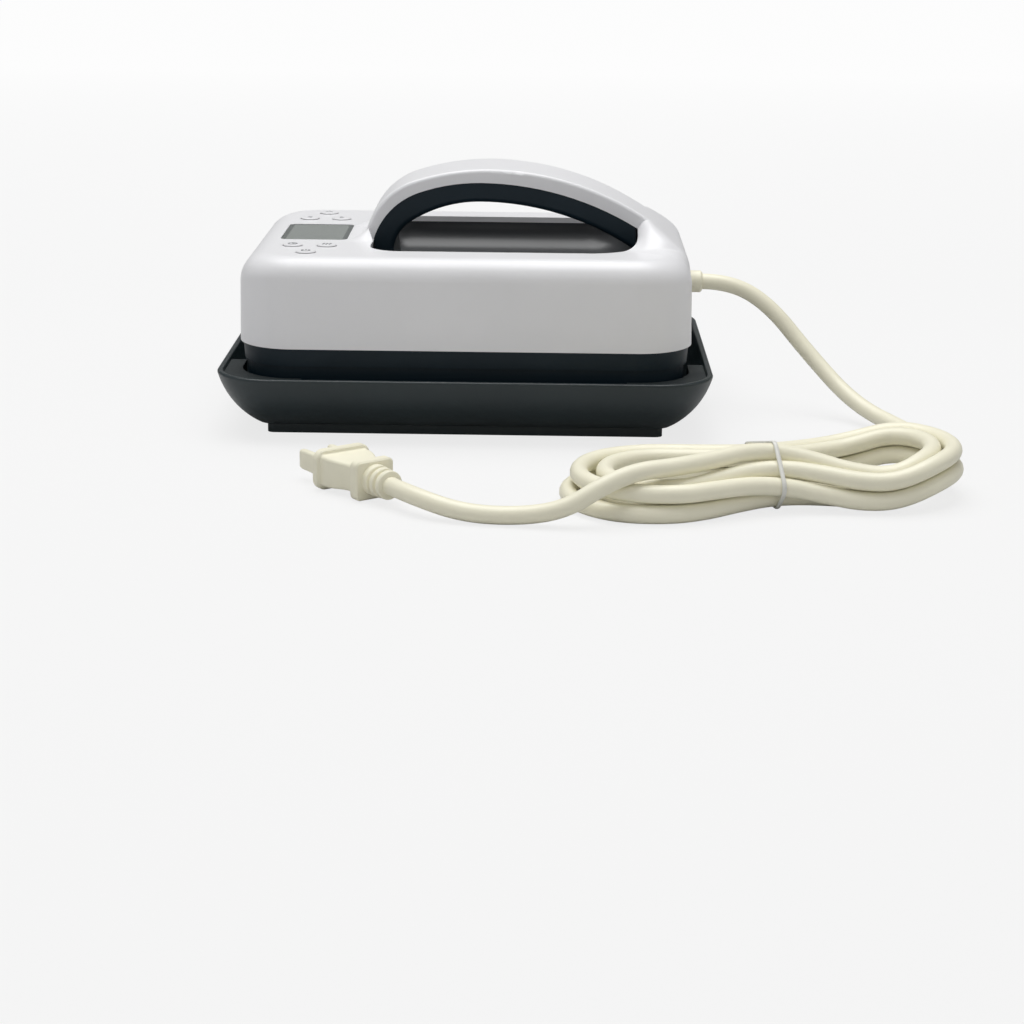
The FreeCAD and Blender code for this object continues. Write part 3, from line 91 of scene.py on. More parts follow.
def mesh_piece(name, points, faces, body, material, smooth=True):
    """New piece from an array of points in metres and a list of faces."""
    mesh = bpy.data.meshes.new(name)
    mesh.from_pydata(np.asarray(points, float).reshape(-1, 3).tolist(), [], faces)
    mesh.polygons.foreach_set("use_smooth", [smooth] * len(mesh.polygons))
    mesh.materials.append(material)
    mesh.validate()
    piece = bpy.data.objects.new(name, mesh)
    bpy.context.scene.collection.objects.link(piece)
    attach(piece, body)
    return piece


def ring_faces(rows, columns, closed_rows):
    """Quads of a grid whose columns close on themselves, and its rows if asked."""
    index = np.arange(rows * columns).reshape(rows, columns)
    ahead = np.roll(index, -1, axis=0) if closed_rows else index[1:]
    near = index if closed_rows else index[:-1]
    quads = np.stack([near, np.roll(near, -1, axis=1), np.roll(ahead, -1, axis=1), ahead], axis=-1)
    faces = quads.reshape(-1, 4).tolist()
    if not closed_rows:
        faces += [index[0, ::-1].tolist(), index[-1].tolist()]
    return faces


def smooth_sides(piece, angle):
    """Smooth shading up to this edge angle."""
    mesh = piece.data
    mesh.polygons.foreach_set("use_smooth", [True] * len(mesh.polygons))
    mesh.set_sharp_from_angle(angle=math.radians(angle))


# ------------------------------------------------------------ shader nodes

def set_inputs(node, values):
    """Sets constants on a node's inputs. In a name an underscore stands for a space."""
    for label, value in values.items():
        node.inputs[label.replace("_", " ")].default_value = value


def calculate(tree, operation, *values):
    """Result socket of a Math node on sockets and plain numbers."""
    node = tree.nodes.new("ShaderNodeMath")
    node.operation = operation
    for socket, value in zip(node.inputs, values):
        if isinstance(value, bpy.types.NodeSocket):
            tree.links.new(value, socket)
        else:
            socket.default_value = value
    return node.outputs[0]


def map_range(tree, value, interpolation="LINEAR", **ends):
    """Result socket of a Map Range node on a socket, with its ends as constants."""
    node = tree.nodes.new("ShaderNodeMapRange")
    node.interpolation_type = interpolation
    set_inputs(node, ends)
    tree.links.new(value, node.inputs["Value"])
    return node.outputs["Result"]


def axes_of(tree, vector):
    """The sockets X, Y and Z of a vector socket."""
    axes = tree.nodes.new("ShaderNodeSeparateXYZ")
    tree.links.new(vector, axes.inputs[0])
    return axes.outputs


def object_place(tree):
    return tree.nodes.new("ShaderNodeTexCoord").outputs["Object"]


def upright(tree):
    """Upright part of the surface's normal: 1 where it looks up, 0 where sideways."""
    return axes_of(tree, tree.nodes.new("ShaderNodeNewGeometry").outputs["Normal"])["Z"]


def noise_in(tree, size_socket, detail):
    """Noise on object coordinates whose feature size comes from a socket."""
    noise = tree.nodes.new("ShaderNodeTexNoise")
    noise.inputs["Detail"].default_value = detail
    tree.links.new(calculate(tree, "DIVIDE", 1.0, size_socket), noise.inputs["Scale"])
    tree.links.new(object_place(tree), noise.inputs["Vector"])
    return noise.outputs["Fac"]


# ------------------------------------------------------------ node groups

def new_group(name, inputs, outputs):
    """Shader node group with named inputs and outputs."""
    tree = bpy.data.node_groups.new(name, "ShaderNodeTree")
    for kind, label, default in inputs:
        socket = tree.interface.new_socket(label, in_out="INPUT", socket_type=kind)
        socket.default_value = default
    for kind, label in outputs:
        tree.interface.new_socket(label, in_out="OUTPUT", socket_type=kind)
    start = tree.nodes.new("NodeGroupInput")
    end = tree.nodes.new("NodeGroupOutput")
    return tree, start.outputs, end.inputs


def grain_group():
    """Moulded or cast grain: two sizes of noise added up as a height from 0 to 1."""
    tree, given, result = new_group(
        "Moulded Grain",
        [("NodeSocketFloat", "Size", 0.0008), ("NodeSocketFloat", "Coarse Size", 0.006),
         ("NodeSocketFloat", "Coarse Share", 0.3)],
        [("NodeSocketFloat", "Height")])
    mix = tree.nodes.new("ShaderNodeMix")
    tree.links.new(given["Coarse Share"], mix.inputs["Factor"])
    tree.links.new(noise_in(tree, given["Size"], 2.0), mix.inputs["A"])
    tree.links.new(noise_in(tree, given["Coarse Size"], 1.0), mix.inputs["B"])
    tree.links.new(mix.outputs["Result"], result["Height"])
    return tree


def drift_group():
    """Slow drift between two close tones, as a colour and as a mask."""
    tree, given, result = new_group(
        "Tone Drift",
        [("NodeSocketColor", "Tone", (0.8, 0.8, 0.8, 1)),
         ("NodeSocketColor", "Other Tone", (0.7, 0.7, 0.7, 1)),
         ("NodeSocketFloat", "Size", 0.05)],
        [("NodeSocketColor", "Colour"), ("NodeSocketFloat", "Mask")])
    noise = noise_in(tree, given["Size"], 3.0)
    mask = map_range(tree, noise, "SMOOTHERSTEP", From_Min=0.2, From_Max=0.8)
    mix = tree.nodes.new("ShaderNodeMix")
    mix.data_type = "RGBA"
    tree.links.new(mask, mix.inputs["Factor"])
    tree.links.new(given["Tone"], mix.inputs["A"])
    tree.links.new(given["Other Tone"], mix.inputs["B"])
    tree.links.new(mix.outputs["Result"], result["Colour"])
    tree.links.new(mask, result["Mask"])
    return tree


def dust_and_sheen_group():
    """Fine dust on faces that look up, partly a painted sheen that lightens them: the upward share
    of the normal times a noise.
    """
    tree, given, result = new_group(
        "Dust And Painted Sheen",
        [("NodeSocketFloat", "Size", 0.004), ("NodeSocketFloat", "Amount", 0.3)],
        [("NodeSocketFloat", "Mask")])
    sparse = map_range(tree, noise_in(tree, given["Size"], 6.0), From_Min=0.5, From_Max=0.8)
    upward = map_range(tree, upright(tree), From_Min=0.3)
    both = calculate(tree, "MULTIPLY", upward, sparse)
    tree.links.new(calculate(tree, "MULTIPLY", both, given["Amount"]), result["Mask"])
    return tree


GROUPS = {}


def group_node(tree, name, **values):
    """A shared group placed in a material with its own values."""
    makers = {"grain": grain_group, "drift": drift_group, "dust_and_sheen": dust_and_sheen_group}
    if name not in GROUPS:
        GROUPS[name] = makers[name]()
    node = tree.nodes.new("ShaderNodeGroup")
    node.node_tree = GROUPS[name]
    set_inputs(node, values)
    return node


# ------------------------------------------------------------ materials

def colour4(colour):
    return (*colour[:3], 1.0)


def shade(colour, factor):
    return tuple(min(level * factor, 1.0) for level in colour[:3])


class Finish:
    """A material under construction: a Principled shader fed by the shared groups."""

    def __init__(self, name):
        self.material = bpy.data.materials.new(name)
        self.material.use_nodes = True
        self.tree = self.material.node_tree
        self.shader = self.tree.nodes["Principled BSDF"]

    def link(self, source, target):
        self.tree.links.new(source, target)

    def set(self, **values):
        set_inputs(self.shader, values)
        return self

    def toned(self, colour, drift=0.94, size=0.04):
        """Base colour that drifts slowly between the colour and a slightly other tone."""
        self.drift = group_node(self.tree, "drift", Tone=colour4(colour),
                                Other_Tone=colour4(shade(colour, drift)), Size=size)
        self.colour = self.drift.outputs["Colour"]
        self.link(self.colour, self.shader.inputs["Base Color"])
        return self

    def roughened(self, low, high):
        """Roughness that drifts with the tone between two values."""
        span = map_range(self.tree, self.drift.outputs["Mask"], To_Min=low, To_Max=high)
        self.link(span, self.shader.inputs["Roughness"])
        return self

    def grained(self, size, depth, strength, coarse=0.006, share=0.3):
        """Fine relief through a Bump node, sizes in metres."""
        grain = group_node(self.tree, "grain", Size=size, Coarse_Size=coarse, Coarse_Share=share)
        bump = self.tree.nodes.new("ShaderNodeBump")
        bump.inputs["Strength"].default_value = strength
        bump.inputs["Distance"].default_value = depth
        self.link(grain.outputs["Height"], bump.inputs["Height"])
        self.link(bump.outputs["Normal"], self.shader.inputs["Normal"])
        return self

    def covered(self, colour, share):
        """Another tone over the base colour, as far as the share's socket says."""
        mix = self.tree.nodes.new("ShaderNodeMix")
        mix.data_type = "RGBA"
        mix.inputs["B"].default_value = colour4(colour)
        self.link(share, mix.inputs["Factor"])
        self.link(self.colour, mix.inputs["A"])
        self.link(mix.outputs["Result"], self.shader.inputs["Base Color"])
        return self

    def painted_side_shade(self, colour):
        """Painted shade: a darker tone on the faces that look sideways, standing in for the shade
        on a button's side wall.
        """
        side_shade_mask = map_range(self.tree, upright(self.tree), From_Min=0.75, From_Max=0.3)
        return self.covered(colour, side_shade_mask)

    def dust_and_painted_sheen(self, colour, amount, size=0.004):
        """Pale dust over the base colour on faces that look up, which also serves as a painted
        sheen there.
        """
        dust_and_sheen = group_node(self.tree, "dust_and_sheen", Size=size, Amount=amount)
        return self.covered(colour, dust_and_sheen.outputs["Mask"])


def make_finishes(colours):
    """Every finish of the press, by name."""
    white = colours.shell
    made = {
        "white_shell": Finish("White Housing").toned(white, 0.97, 0.05).roughened(0.3, 0.36)
        .grained(0.0007, 0.00001, 0.2, 0.003, 0.2),
        # painted shade: the buttons' side walls get a darker tone where their faces look sideways
        "button_white": Finish("White Button").toned(shade(white, 0.98), 0.97, 0.01)
        .painted_side_shade(shade(white, 0.62)).roughened(0.3, 0.36).grained(0.0006, 0.00002, 0.2),
        "grip_black": Finish("Black Soft Grip").toned(colours.grip, 0.8, 0.03)
        .roughened(0.42, 0.5).grained(0.0005, 0.00004, 0.35)
        .dust_and_painted_sheen(tint(120, 125, 130), 0.08).set(Specular_IOR_Level=0.32),
        "well_dark": Finish("Dark Well Liner").toned(colours.well, 0.85, 0.05)
        .roughened(0.3, 0.36).grained(0.0006, 0.00003, 0.3),
        # painted sheen: the tray's upward faces, the rim most of all, get a lighter, warmer tone
        # along with real dust
        "tray_dark": Finish("Charcoal Tray").toned(colours.tray, 0.85, 0.05)
        .roughened(0.3, 0.38).grained(0.0006, 0.00004, 0.4)
        .dust_and_painted_sheen(tint(134, 134, 130), 0.27, 0.0012),
        "pad_rubber": Finish("Pad Rubber").toned(tint(32, 41, 43), 0.8, 0.02)
        .roughened(0.6, 0.7).grained(0.0004, 0.00005, 0.5),
        "coated_plate": Finish("Coated Plate").toned(tint(62, 63, 66), 0.85, 0.02)
        .roughened(0.34, 0.42).grained(0.0003, 0.00003, 0.5).set(Metallic=0.35),
        "steel": Finish("Sheet Steel").toned(tint(176, 178, 180), 0.88, 0.02)
        .roughened(0.29, 0.4).grained(0.0004, 0.00002, 0.3).set(Metallic=1.0),
        "ceramic_post": Finish("Ceramic Post").toned(tint(224, 219, 208), 0.93, 0.005)
        .roughened(0.45, 0.6).grained(0.0003, 0.00003, 0.4),
        "fibre": Finish("Fibre Blanket").toned(tint(222, 218, 206), 0.82, 0.006)
        .roughened(0.85, 0.95).grained(0.0007, 0.0006, 0.9, 0.004, 0.4),
        "circuit_board": Finish("Circuit Board").toned(tint(28, 82, 54), 0.7, 0.008)
        .roughened(0.3, 0.45).grained(0.0012, 0.00005, 0.4),
        "black_parts": Finish("Black Parts").toned(tint(38, 38, 40), 0.75, 0.008)
        .roughened(0.4, 0.55).grained(0.0004, 0.00003, 0.4),
        "display": Finish("Display Module").toned(tint(70, 74, 72), 0.85, 0.01)
        .roughened(0.3, 0.4).grained(0.0006, 0.00002, 0.3),
        "window": window_finish(colours),
        "cord_cream": Finish("Cord Vinyl").toned(colours.cord, 0.95, 0.02)
        .roughened(0.34, 0.44).grained(0.0012, 0.00006, 0.35, 0.01, 0.5),
        "plug_cream": Finish("Plug Vinyl").toned(colours.cord, 0.95, 0.012)
        .roughened(0.36, 0.46).grained(0.0006, 0.00004, 0.35),
        "tie_clear": Finish("Milky Tie").toned(tint(226, 226, 220), 0.93, 0.004)
        .roughened(0.3, 0.4).grained(0.0006, 0.00003, 0.3),
        "symbol": Finish("Printed Symbol").toned(tint(122, 125, 128), 0.9, 0.002)
        .roughened(0.4, 0.5).grained(0.0004, 0.00001, 0.3),
    }
    return {name: finish.material for name, finish in made.items()}


def window_finish(colours):
    """Display glass: the pale liquid crystal field inside a darker printed border.

    The border mask is the larger of |x - middle| - half length and |y| - half depth, where
    each half ends at the border. The border is wider at the two ends.
    """
    low, high = (np.array(corner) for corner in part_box("display_window"))
    middle = (low + high) / 2
    half = (high - low)[:2] / 2 - (colours.border_ends, colours.border)
    finish = Finish("Display Glass").toned(colours.crystal, 0.95, 0.012).roughened(0.12, 0.18)
    tree = finish.tree
    place = axes_of(tree, object_place(tree))
    past_field = []
    for axis in (0, 1):
        shift = calculate(tree, "SUBTRACT", place[axis], float(middle[axis]))
        size = calculate(tree, "ABSOLUTE", shift)
        past_field.append(calculate(tree, "SUBTRACT", size, float(half[axis])))
    edge = calculate(tree, "MAXIMUM", *past_field)
    border = map_range(tree, edge, From_Min=-colours.border_fade, From_Max=0)
    return finish.covered(colours.frame, border).grained(0.002, 0.00001, 0.1)


FINISHES = {}


def finishes():
    """The finishes, made once from the colours in the panel."""
    if not FINISHES:
        FINISHES.update(make_finishes(bpy.context.scene.press_colours))
    return FINISHES


def nodes_named(start):
    """Names of the CAD nodes that begin with these letters."""
    return [name for name in frame["nodes"] if name.startswith(start)]


def dress(finish, *names):
    """Gives CAD nodes a finish, on their objects' own material slots."""
    for name in names:
        node = frame["nodes"][name]
        if not node.material_slots:
            node.data.materials.append(None)
        for holder in node.material_slots:
            holder.link = "OBJECT"
            holder.material = finishes()[finish]


# ------------------------------------------------------------ handle foot

FLARE_ROWS, RAMP_STEPS = 40, 15
CORNER_START, CORNER_END = 0.3, 0.6     # shares of the outline where the corner lies
RAMP_POWER = 1.4
FACE_LEAN, END_LEAN = 0.28, -0.5        # run along X per height, left face and right end


def build_foot_flare(side, sizes):
    """Flare that spreads the handle's left foot onto the panel, one side of it.

    Along the foot's outline, which is a straight side, a small round corner and part of
    the left face, the section is a hollow ramp: outward reach times (1 - s) and height
    times s to the power 1.4, for s from 0 to 1. Its right end leans with the height.
    """
    share = np.linspace(0, 1, RAMP_STEPS)
    along = np.linspace(0, 1, FLARE_ROWS)[:, None]
    grow = np.interp(along, [0, CORNER_START, CORNER_END, 0.8, 1], [1, 1, 0.85, 0.5, 0.2])
    reach, rise = sizes.flare_reach * (0.35 + 0.65 * grow), sizes.flare_rise * grow
    inside = np.full((FLARE_ROWS, 2), -sizes.flare_corner)
    below = np.full((FLARE_ROWS, 2), -sizes.flare_sunk)
    outward = np.hstack([reach * (1 - share), inside, reach])
    upward = np.hstack([rise * share ** RAMP_POWER, rise, below])
    height = np.maximum(upward, 0)
    corner = sizes.flare_corner
    face = sizes.foot_face + FACE_LEAN * height
    right = np.maximum(sizes.foot_rim + END_LEAN * height, face + corner)
    turn = np.radians(np.interp(along, [CORNER_START, CORNER_END], [0, 90]))
    run = np.interp(along, [0, CORNER_START], [1, 0]) * (right - face - corner)
    back = np.interp(along, [CORNER_END, 1], [0, sizes.flare_back])
    radius = corner + outward
    x = face + corner + run - radius * np.sin(turn)
    y = -sizes.foot_half + corner + back - radius * np.cos(turn)
    grid = np.stack([x, side * y, sizes.foot_level + upward], axis=-1)
    if side < 0:
        grid = grid[:, ::-1]
    name = "handle_foot_flare_" + ("front" if side > 0 else "back")
    faces = ring_faces(FLARE_ROWS, grid.shape[1], False)
    piece = mesh_piece(name, grid, faces, "press", finishes()["white_shell"])
    smooth_sides(piece, 40)


# ------------------------------------------------------------ panel symbols

def stroke(path, width, low, high, closed=False):
    """Flat line with square sides along a plane path: the path offset by half the width.

    Each row of the grid holds the four corners of the section at one path point.
    """
    path = np.asarray(path, float)
    ahead = np.roll(path, -1, axis=0) - path
    behind = path - np.roll(path, 1, axis=0)
    if not closed:
        ahead[-1], behind[0] = behind[-1], ahead[0]
    ahead /= np.linalg.norm(ahead, axis=1)[:, None]
    behind /= np.linalg.norm(behind, axis=1)[:, None]
    middle = ahead + behind
    middle /= np.linalg.norm(middle, axis=1)[:, None]
    reach = width / 2 / np.maximum((middle * ahead).sum(axis=1), 0.5)
    side = np.stack([-middle[:, 1], middle[:, 0]], axis=1) * reach[:, None]
    left, right = path + side, path - side
    lows, highs = np.full((len(path), 1), low), np.full((len(path), 1), high)
    grid = np.stack([np.hstack([left, lows]), np.hstack([right, lows]), np.hstack([right, highs]),
                     np.hstack([left, highs])], axis=1)
    return grid.reshape(-1, 3), ring_faces(len(path), 4, closed)


def arc(radius, start, end, count=24, x=0.0, y=0.0):
    angles = np.radians(np.linspace(start, end, count))
    return np.stack([x + radius * np.cos(angles), y + radius * np.sin(angles)], axis=1)


def wave(x, height, swing):
    """Upright wavy line: x swings as a sine of the height."""
    rise = np.linspace(-1, 1, 16)
    return np.stack([x + swing * np.sin(rise * math.pi), rise * height], axis=1)


def symbol_paths():
    """Plane paths of each button's symbol in millimetres: (path, closed)."""
    return {
        "button_up": [([(-1.5, -0.7), (0, 0.9), (1.5, -0.7)], False)],
        "button_left": [([(0.8, -1.5), (-0.8, 0), (0.8, 1.5)], False)],
        "button_right": [([(-0.8, -1.5), (0.8, 0), (-0.8, 1.5)], False)],
        "button_timer": [(arc(1.8, 0, 345), True), ([(0, 1.1), (0, 0), (0.9, -0.5)], False)],
        "button_heat": [(wave(x, 1.5, 0.35), False) for x in (-1.4, 0, 1.4)],
        "button_power": [(arc(1.7, 125, 415), False), ([(0, 0.6), (0, 2.1)], False)],
    }


def build_symbols(sizes):
    """Printed symbols, each a thin relief on its button's crown."""
    for button, strokes in symbol_paths().items():
        low, high = (np.array(corner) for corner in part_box(button))
        middle = (low + high) / 2
        points, faces = [], []
        for path, closed in strokes:
            grid, quads = stroke(path, sizes.line_width / MM, 0, 1, closed)
            grid = grid * [MM, MM, sizes.relief + sizes.buried]
            grid += [middle[0], middle[1], high[2] - sizes.buried]
            faces += [[index + sum(map(len, points)) for index in quad] for quad in quads]
            points.append(grid)
        mesh_piece(button + "_symbol", np.vstack(points), faces, body_of_node(button),
                   finishes()["symbol"], False)


def body_of_node(name):
    """Name of the CAD body that a node rides on."""
    parent = frame["nodes"][name].parent
    return next(body for body, empty in frame["bodies"].items() if empty == parent)


# ------------------------------------------------------------ cord

def to_floor(points, place):
    """Turns and shifts points from the hank's own frame to the press's, millimetres."""
    points = np.asarray(points, float)
    turn = place.hank_turn
    x = place.hank_x / MM + points[:, 0] * math.cos(turn) - points[:, 1] * math.sin(turn)
    y = place.hank_y / MM + points[:, 0] * math.sin(turn) + points[:, 1] * math.cos(turn)
    return np.stack([x, y, points[:, 2]], axis=1)


# Half width, level, right reach and left reach of the hank's four turns, millimetres:
# two beside each other on the floor, and two on top of them.
INNER, OUTER, LOW, HIGH = 22.9, 30.5, 4.8, 12.3
TURNS = [(INNER, LOW, 66.5, 66.0), (OUTER, LOW, 75.0, 76.0), (OUTER, HIGH, 74.0, 72.0),
         (INNER, HIGH + 0.1, 66.0, 62.0)]
LAST = len(TURNS) - 1
PINCH = 42.0                    # reach of the tie's pull to either side
TWIST = 5.4                     # radius on which the front strands twist
STRAND_GAP = 7.8                # between the middles of two strands that touch
LOOP_SHARE = 0.953              # of a control point's distance, which the curve reaches
CLIMB, CLIMB_START, CLIMB_RUN = 7.4, 36, 28
LOOP_JOIN = 0.6                 # outward where a loop meets its strands
SETTLE = 1.1                    # how far the strands sink away from the tie
FRONT_Y, FRONT_Z = -26.4, 8.6   # middle of the twisted front strands
FRONT_DRAW, FRONT_LIFT, BACK_DRAW = 10.4, 1.5, 10.6     # by the tie
PLUG_PLACE, PLUG_TURN = (-24, -172, 8), 127
FEED = [(102.6, 0, 56), (115, 0, 56), (132.5, -2.5, 46.5), (150, -10, 26), (169, -29, 7.5),
        (188, -60, 3.6), (196, -90, 3.6), (190.5, -119, 3.9)]
TAIL = [(4, -193, 3.7), (-14.4, -184.8, 7.6), PLUG_PLACE]


def eased(share):
    """Smooth step from 0 to 1: 3 s squared - 2 s cubed, held at both ends."""
    share = min(max(share, 0), 1)
    return share * share * (3 - 2 * share)


def between(start, end):
    """Six even steps along a strand, without its two ends."""
    return np.linspace(start, end, 7)[1:-1]


def pinch(x):
    """1 at the tie, 0 from its reach on either side, as a squared cosine."""
    return math.cos(math.pi * x / 2 / PINCH) ** 2 if abs(x) < PINCH else 0.0


def front_strand(turn, x):
    """Front strands twist round each other by a quarter turn from right to left."""
    angle = math.radians(-45 - 90 * (turn - 1) - 90 * eased((PINCH - x) / (2 * PINCH)))
    return (x, FRONT_Y + FRONT_DRAW * pinch(x) + TWIST * math.cos(angle),
            FRONT_Z + FRONT_LIFT * pinch(x) + TWIST * math.sin(angle))


def back_strand(turn, x):
    """Back strands lie beside each other and draw in at the tie."""
    half, level = TURNS[turn][:2]
    return (x, half - BACK_DRAW * pinch(x), level)


def loop_middle(turn, side):
    """Distance of the loop's middle from the tie."""
    half, _, right, left = TURNS[turn]
    return (right if side > 0 else left) - half


def end_loop(turn, side):
    """Half circle at one end; at the right end it climbs over the incoming cord."""
    half, level = TURNS[turn][:2]
    middle = loop_middle(turn, side)
    points = []
    for angle in (-90, -54, -18, 18, 54, 90):
        radius = half + LOOP_JOIN if abs(angle) == 90 else half / LOOP_SHARE
        x = middle + radius * math.cos(math.radians(angle))
        lift = CLIMB * eased((x - CLIMB_START) / CLIMB_RUN) if side > 0 else 0
        points.append((side * x, radius * math.sin(math.radians(angle)), level + lift))
    return points if side < 0 else points[::-1]


def hank_points():
    """Control points of the tied hank in its own frame, from the feed to the tail."""
    points = [(60.5, 3.5, LOW), (38, -5.5, LOW), (18, -6.8, LOW)]
    points += [(x, front_strand(1, x)[1] + STRAND_GAP, LOW) for x in (3, -12, -27)]
    for turn in range(len(TURNS)):
        left, right = -loop_middle(turn, -1), loop_middle(turn, 1)
        points += end_loop(turn, -1)
        points += [back_strand(turn, x) for x in between(left, right)]
        points += end_loop(turn, 1)
        if turn < LAST:
            next_left = -loop_middle(turn + 1, -1)
            points += [front_strand(turn + 1, x) for x in between(right, next_left)]
    for x, angle in ((28, 12), (15, 24), (2, 40), (-12, 57), (-26, 70)):
        _, y, z = front_strand(LAST, x)
        lean = math.radians(angle)
        points.append((x, y + STRAND_GAP * math.cos(lean), z + STRAND_GAP * math.sin(lean)))
    points += [(-42, -22.5, 20.6), (-57, -25.5, 20.4), (-70, -28.5, 16.5), (-84, -28.5, 8.0)]
    settled = [(x, y, z - SETTLE * (1 - pinch(x))) for x, y, z in points]
    return settled + [(-100, -23.5, 3.6)]


def cord_points(place):
    """The whole cord in metres: collar to hank, the hank, and hank to plug."""
    return np.vstack([FEED, to_floor(hank_points(), place), TAIL]) * MM


def nurbs_curve(name, points):
    """Open quadratic NURBS curve with the points as its control points."""
    curve = bpy.data.curves.new(name, "CURVE")
    curve.dimensions = "3D"
    spline = curve.splines.new("NURBS")
    spline.points.add(len(points) - 1)
    spline.points.foreach_set("co", np.hstack([points, np.ones((len(points), 1))]).ravel())
    spline.order_u = 3
    spline.use_endpoint_u = True
    curve.resolution_u = 10
    return curve


def curve_mesh(curve):
    """The mesh that Blender makes of a curve, which is then removed."""
    holder = bpy.data.objects.new("cord_line", curve)
    mesh = bpy.data.meshes.new_from_object(holder)
    bpy.data.objects.remove(holder)
    bpy.data.curves.remove(curve)
    return mesh


def centreline(points):
    """Points of the cord's own line, as Blender gives them for a curve with no bevel."""
    mesh = curve_mesh(nurbs_curve("cord_line", points))
    line = np.empty(len(mesh.vertices) * 3)
    mesh.vertices.foreach_get("co", line)
    bpy.data.meshes.remove(mesh)
    return line.reshape(-1, 3)


def build_cord(points, sizes):
    """Round tube along the cord's line.
    """
    curve = nurbs_curve("cord", points)
    curve.bevel_depth = sizes.diameter / 2
    curve.bevel_resolution = sizes.facets
    curve.use_fill_caps = True
    mesh = curve_mesh(curve)
    mesh.name = "cord"
    mesh.materials.clear()
    mesh.materials.append(finishes()["cord_cream"])
    cord = bpy.data.objects.new("cord", mesh)
    bpy.context.scene.collection.objects.link(cord)
    smooth_sides(cord, 60)
    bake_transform(cord)
    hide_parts("power_cord", "cord_hank", "cord_tail")
    return cord


HANK_REACH = 0.04       # from the hank's middle to past its outer strands


def build_tie(points, sizes):
    """Tie drawn round the strands at the hank's waist.

    In the plane across the hank, the band's line at each angle is the strand that lies
    furthest that way, moved out by the cord's radius: the outline of the bundle. The
    section is a thin oval carried along that line.
    """
    line = centreline(points)
    along = np.array([math.cos(sizes.hank_turn), math.sin(sizes.hank_turn), 0])
    across = np.array([-along[1], along[0], 0])
    middle = np.array([sizes.hank_x, sizes.hank_y, 0])
    offset = (line - middle) @ along
    crossing = np.nonzero(offset[:-1] * offset[1:] < 0)[0]
    near = np.abs((line[crossing] - middle) @ across) < HANK_REACH
    share = (offset[crossing] / (offset[crossing] - offset[crossing + 1]))[:, None]
    strands = (line[crossing] * (1 - share) + line[crossing + 1] * share)[near]
    flat = np.stack([(strands - middle) @ across, strands[:, 2]], axis=1)
    angles = np.linspace(0, 2 * math.pi, 181)[:-1]
    outward = np.stack([np.cos(angles), np.sin(angles)], axis=1)
    chosen = flat[np.argmax(outward @ flat.T, axis=1)]
    turn = np.linspace(0, 2 * math.pi, 13)[:-1]
    grow = sizes.diameter / 2 + sizes.tie_thickness / 2 * (1 + 0.9 * np.sin(turn))
    wide = sizes.tie_width / 2 * np.cos(turn)
    rows = chosen[:, None, :] + outward[:, None, :] * grow[None, :, None]
    grid = (middle + rows[..., :1] * across + rows[..., 1:] * np.array([0, 0, 1])
            + wide[None, :, None] * along)
    piece = mesh_piece("tie_band", grid, ring_faces(len(angles), len(turn), True), "tray",
                       finishes()["tie_clear"])
    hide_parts("cord_tie")
    return piece


def rounded_section(half_y, half_z, corner, count=48):
    """Rounded rectangle across the plug: corner centres moved out by the corner radius."""
    angles = np.linspace(0, 2 * math.pi, count + 1)[:-1] + math.pi / count
    y = np.sign(np.cos(angles)) * (half_y - corner) + corner * np.cos(angles)
    z = np.sign(np.sin(angles)) * (half_z - corner) + corner * np.sin(angles)
    return np.stack([y, z], axis=1)


def along_plug(name, stations, shift=0.0):
    """Rounded sections carried along the plug's axis: (x, half y, half z, corner), mm."""
    sections = [rounded_section(*station[1:]) + [shift, 0] for station in stations]
    y, z = np.moveaxis(np.array(sections), -1, 0)
    x = np.array([station[0] for station in stations])[:, None]
    turn = math.radians(PLUG_TURN)
    placed = np.stack([x * math.cos(turn) - y * math.sin(turn),
                       x * math.sin(turn) + y * math.cos(turn), z], axis=-1) + PLUG_PLACE
    faces = ring_faces(len(stations), y.shape[1], False)
    piece = mesh_piece(name, placed * MM, faces, "tray", finishes()["plug_cream"])
    smooth_sides(piece, 32)
    return piece


RIB_PITCH = 3.7
RIB_PROFILE = ((0, 0.7), (0.15, 0.25), (0.5, 0), (2.0, 0), (2.3, 0.2), (2.45, 0.6), (2.5, 1.2),
               (3.6, 0.95))         # along the plug, below the rib's crown


def build_plug():
    """Moulded plug with its low grip, the three ribs behind it and the covers on its pins."""
    ribs = [(number * RIB_PITCH + x, radius - drop)
            for number, radius in enumerate((5.6, 5.85, 6.1)) for x, drop in RIB_PROFILE]
    ribs = ribs[:-4] + [(10.8, 6.1)]
    sleeve = along_plug("plug_ribs", [(x, radius, radius, radius) for x, radius in ribs])
    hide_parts("plug_sleeve")
    body = along_plug("plug_moulding", [
        (10.5, 7.9, 7.0, 1.8), (11.1, 8.5, 7.6, 2.2), (14.6, 8.5, 7.6, 2.2),
        (15.2, 8.2, 7.2, 2.0), (15.6, 7.4, 5.6, 1.4), (19, 7.3, 5.4, 1.4), (22, 8.2, 5.5, 1.4),
        (26, 9.8, 5.8, 1.4), (29, 10.5, 6.0, 1.4), (32.4, 10.6, 6.1, 1.4),
        (32.8, 11.0, 6.4, 1.8), (33.0, 11.8, 7.4, 3.6), (33.5, 12.2, 7.9, 4.2),
        (35.9, 12.2, 7.9, 4.2), (36.4, 11.8, 7.5, 3.8)])
    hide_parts("plug_body")
    covers = [along_plug("pin_cover_" + side, [
        (36.2, 1.7, 4.1, 1.2), (51.6, 1.6, 4.0, 1.2), (53.0, 1.4, 3.8, 1.2),
        (53.8, 0.8, 3.0, 0.7)], shift) for side, shift in (("left", 6.35), ("right", -6.35))]
    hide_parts("plug_blade_left")
    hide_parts("plug_blade_right")
    return [sleeve, body, *covers]


# ------------------------------------------------------------ properties

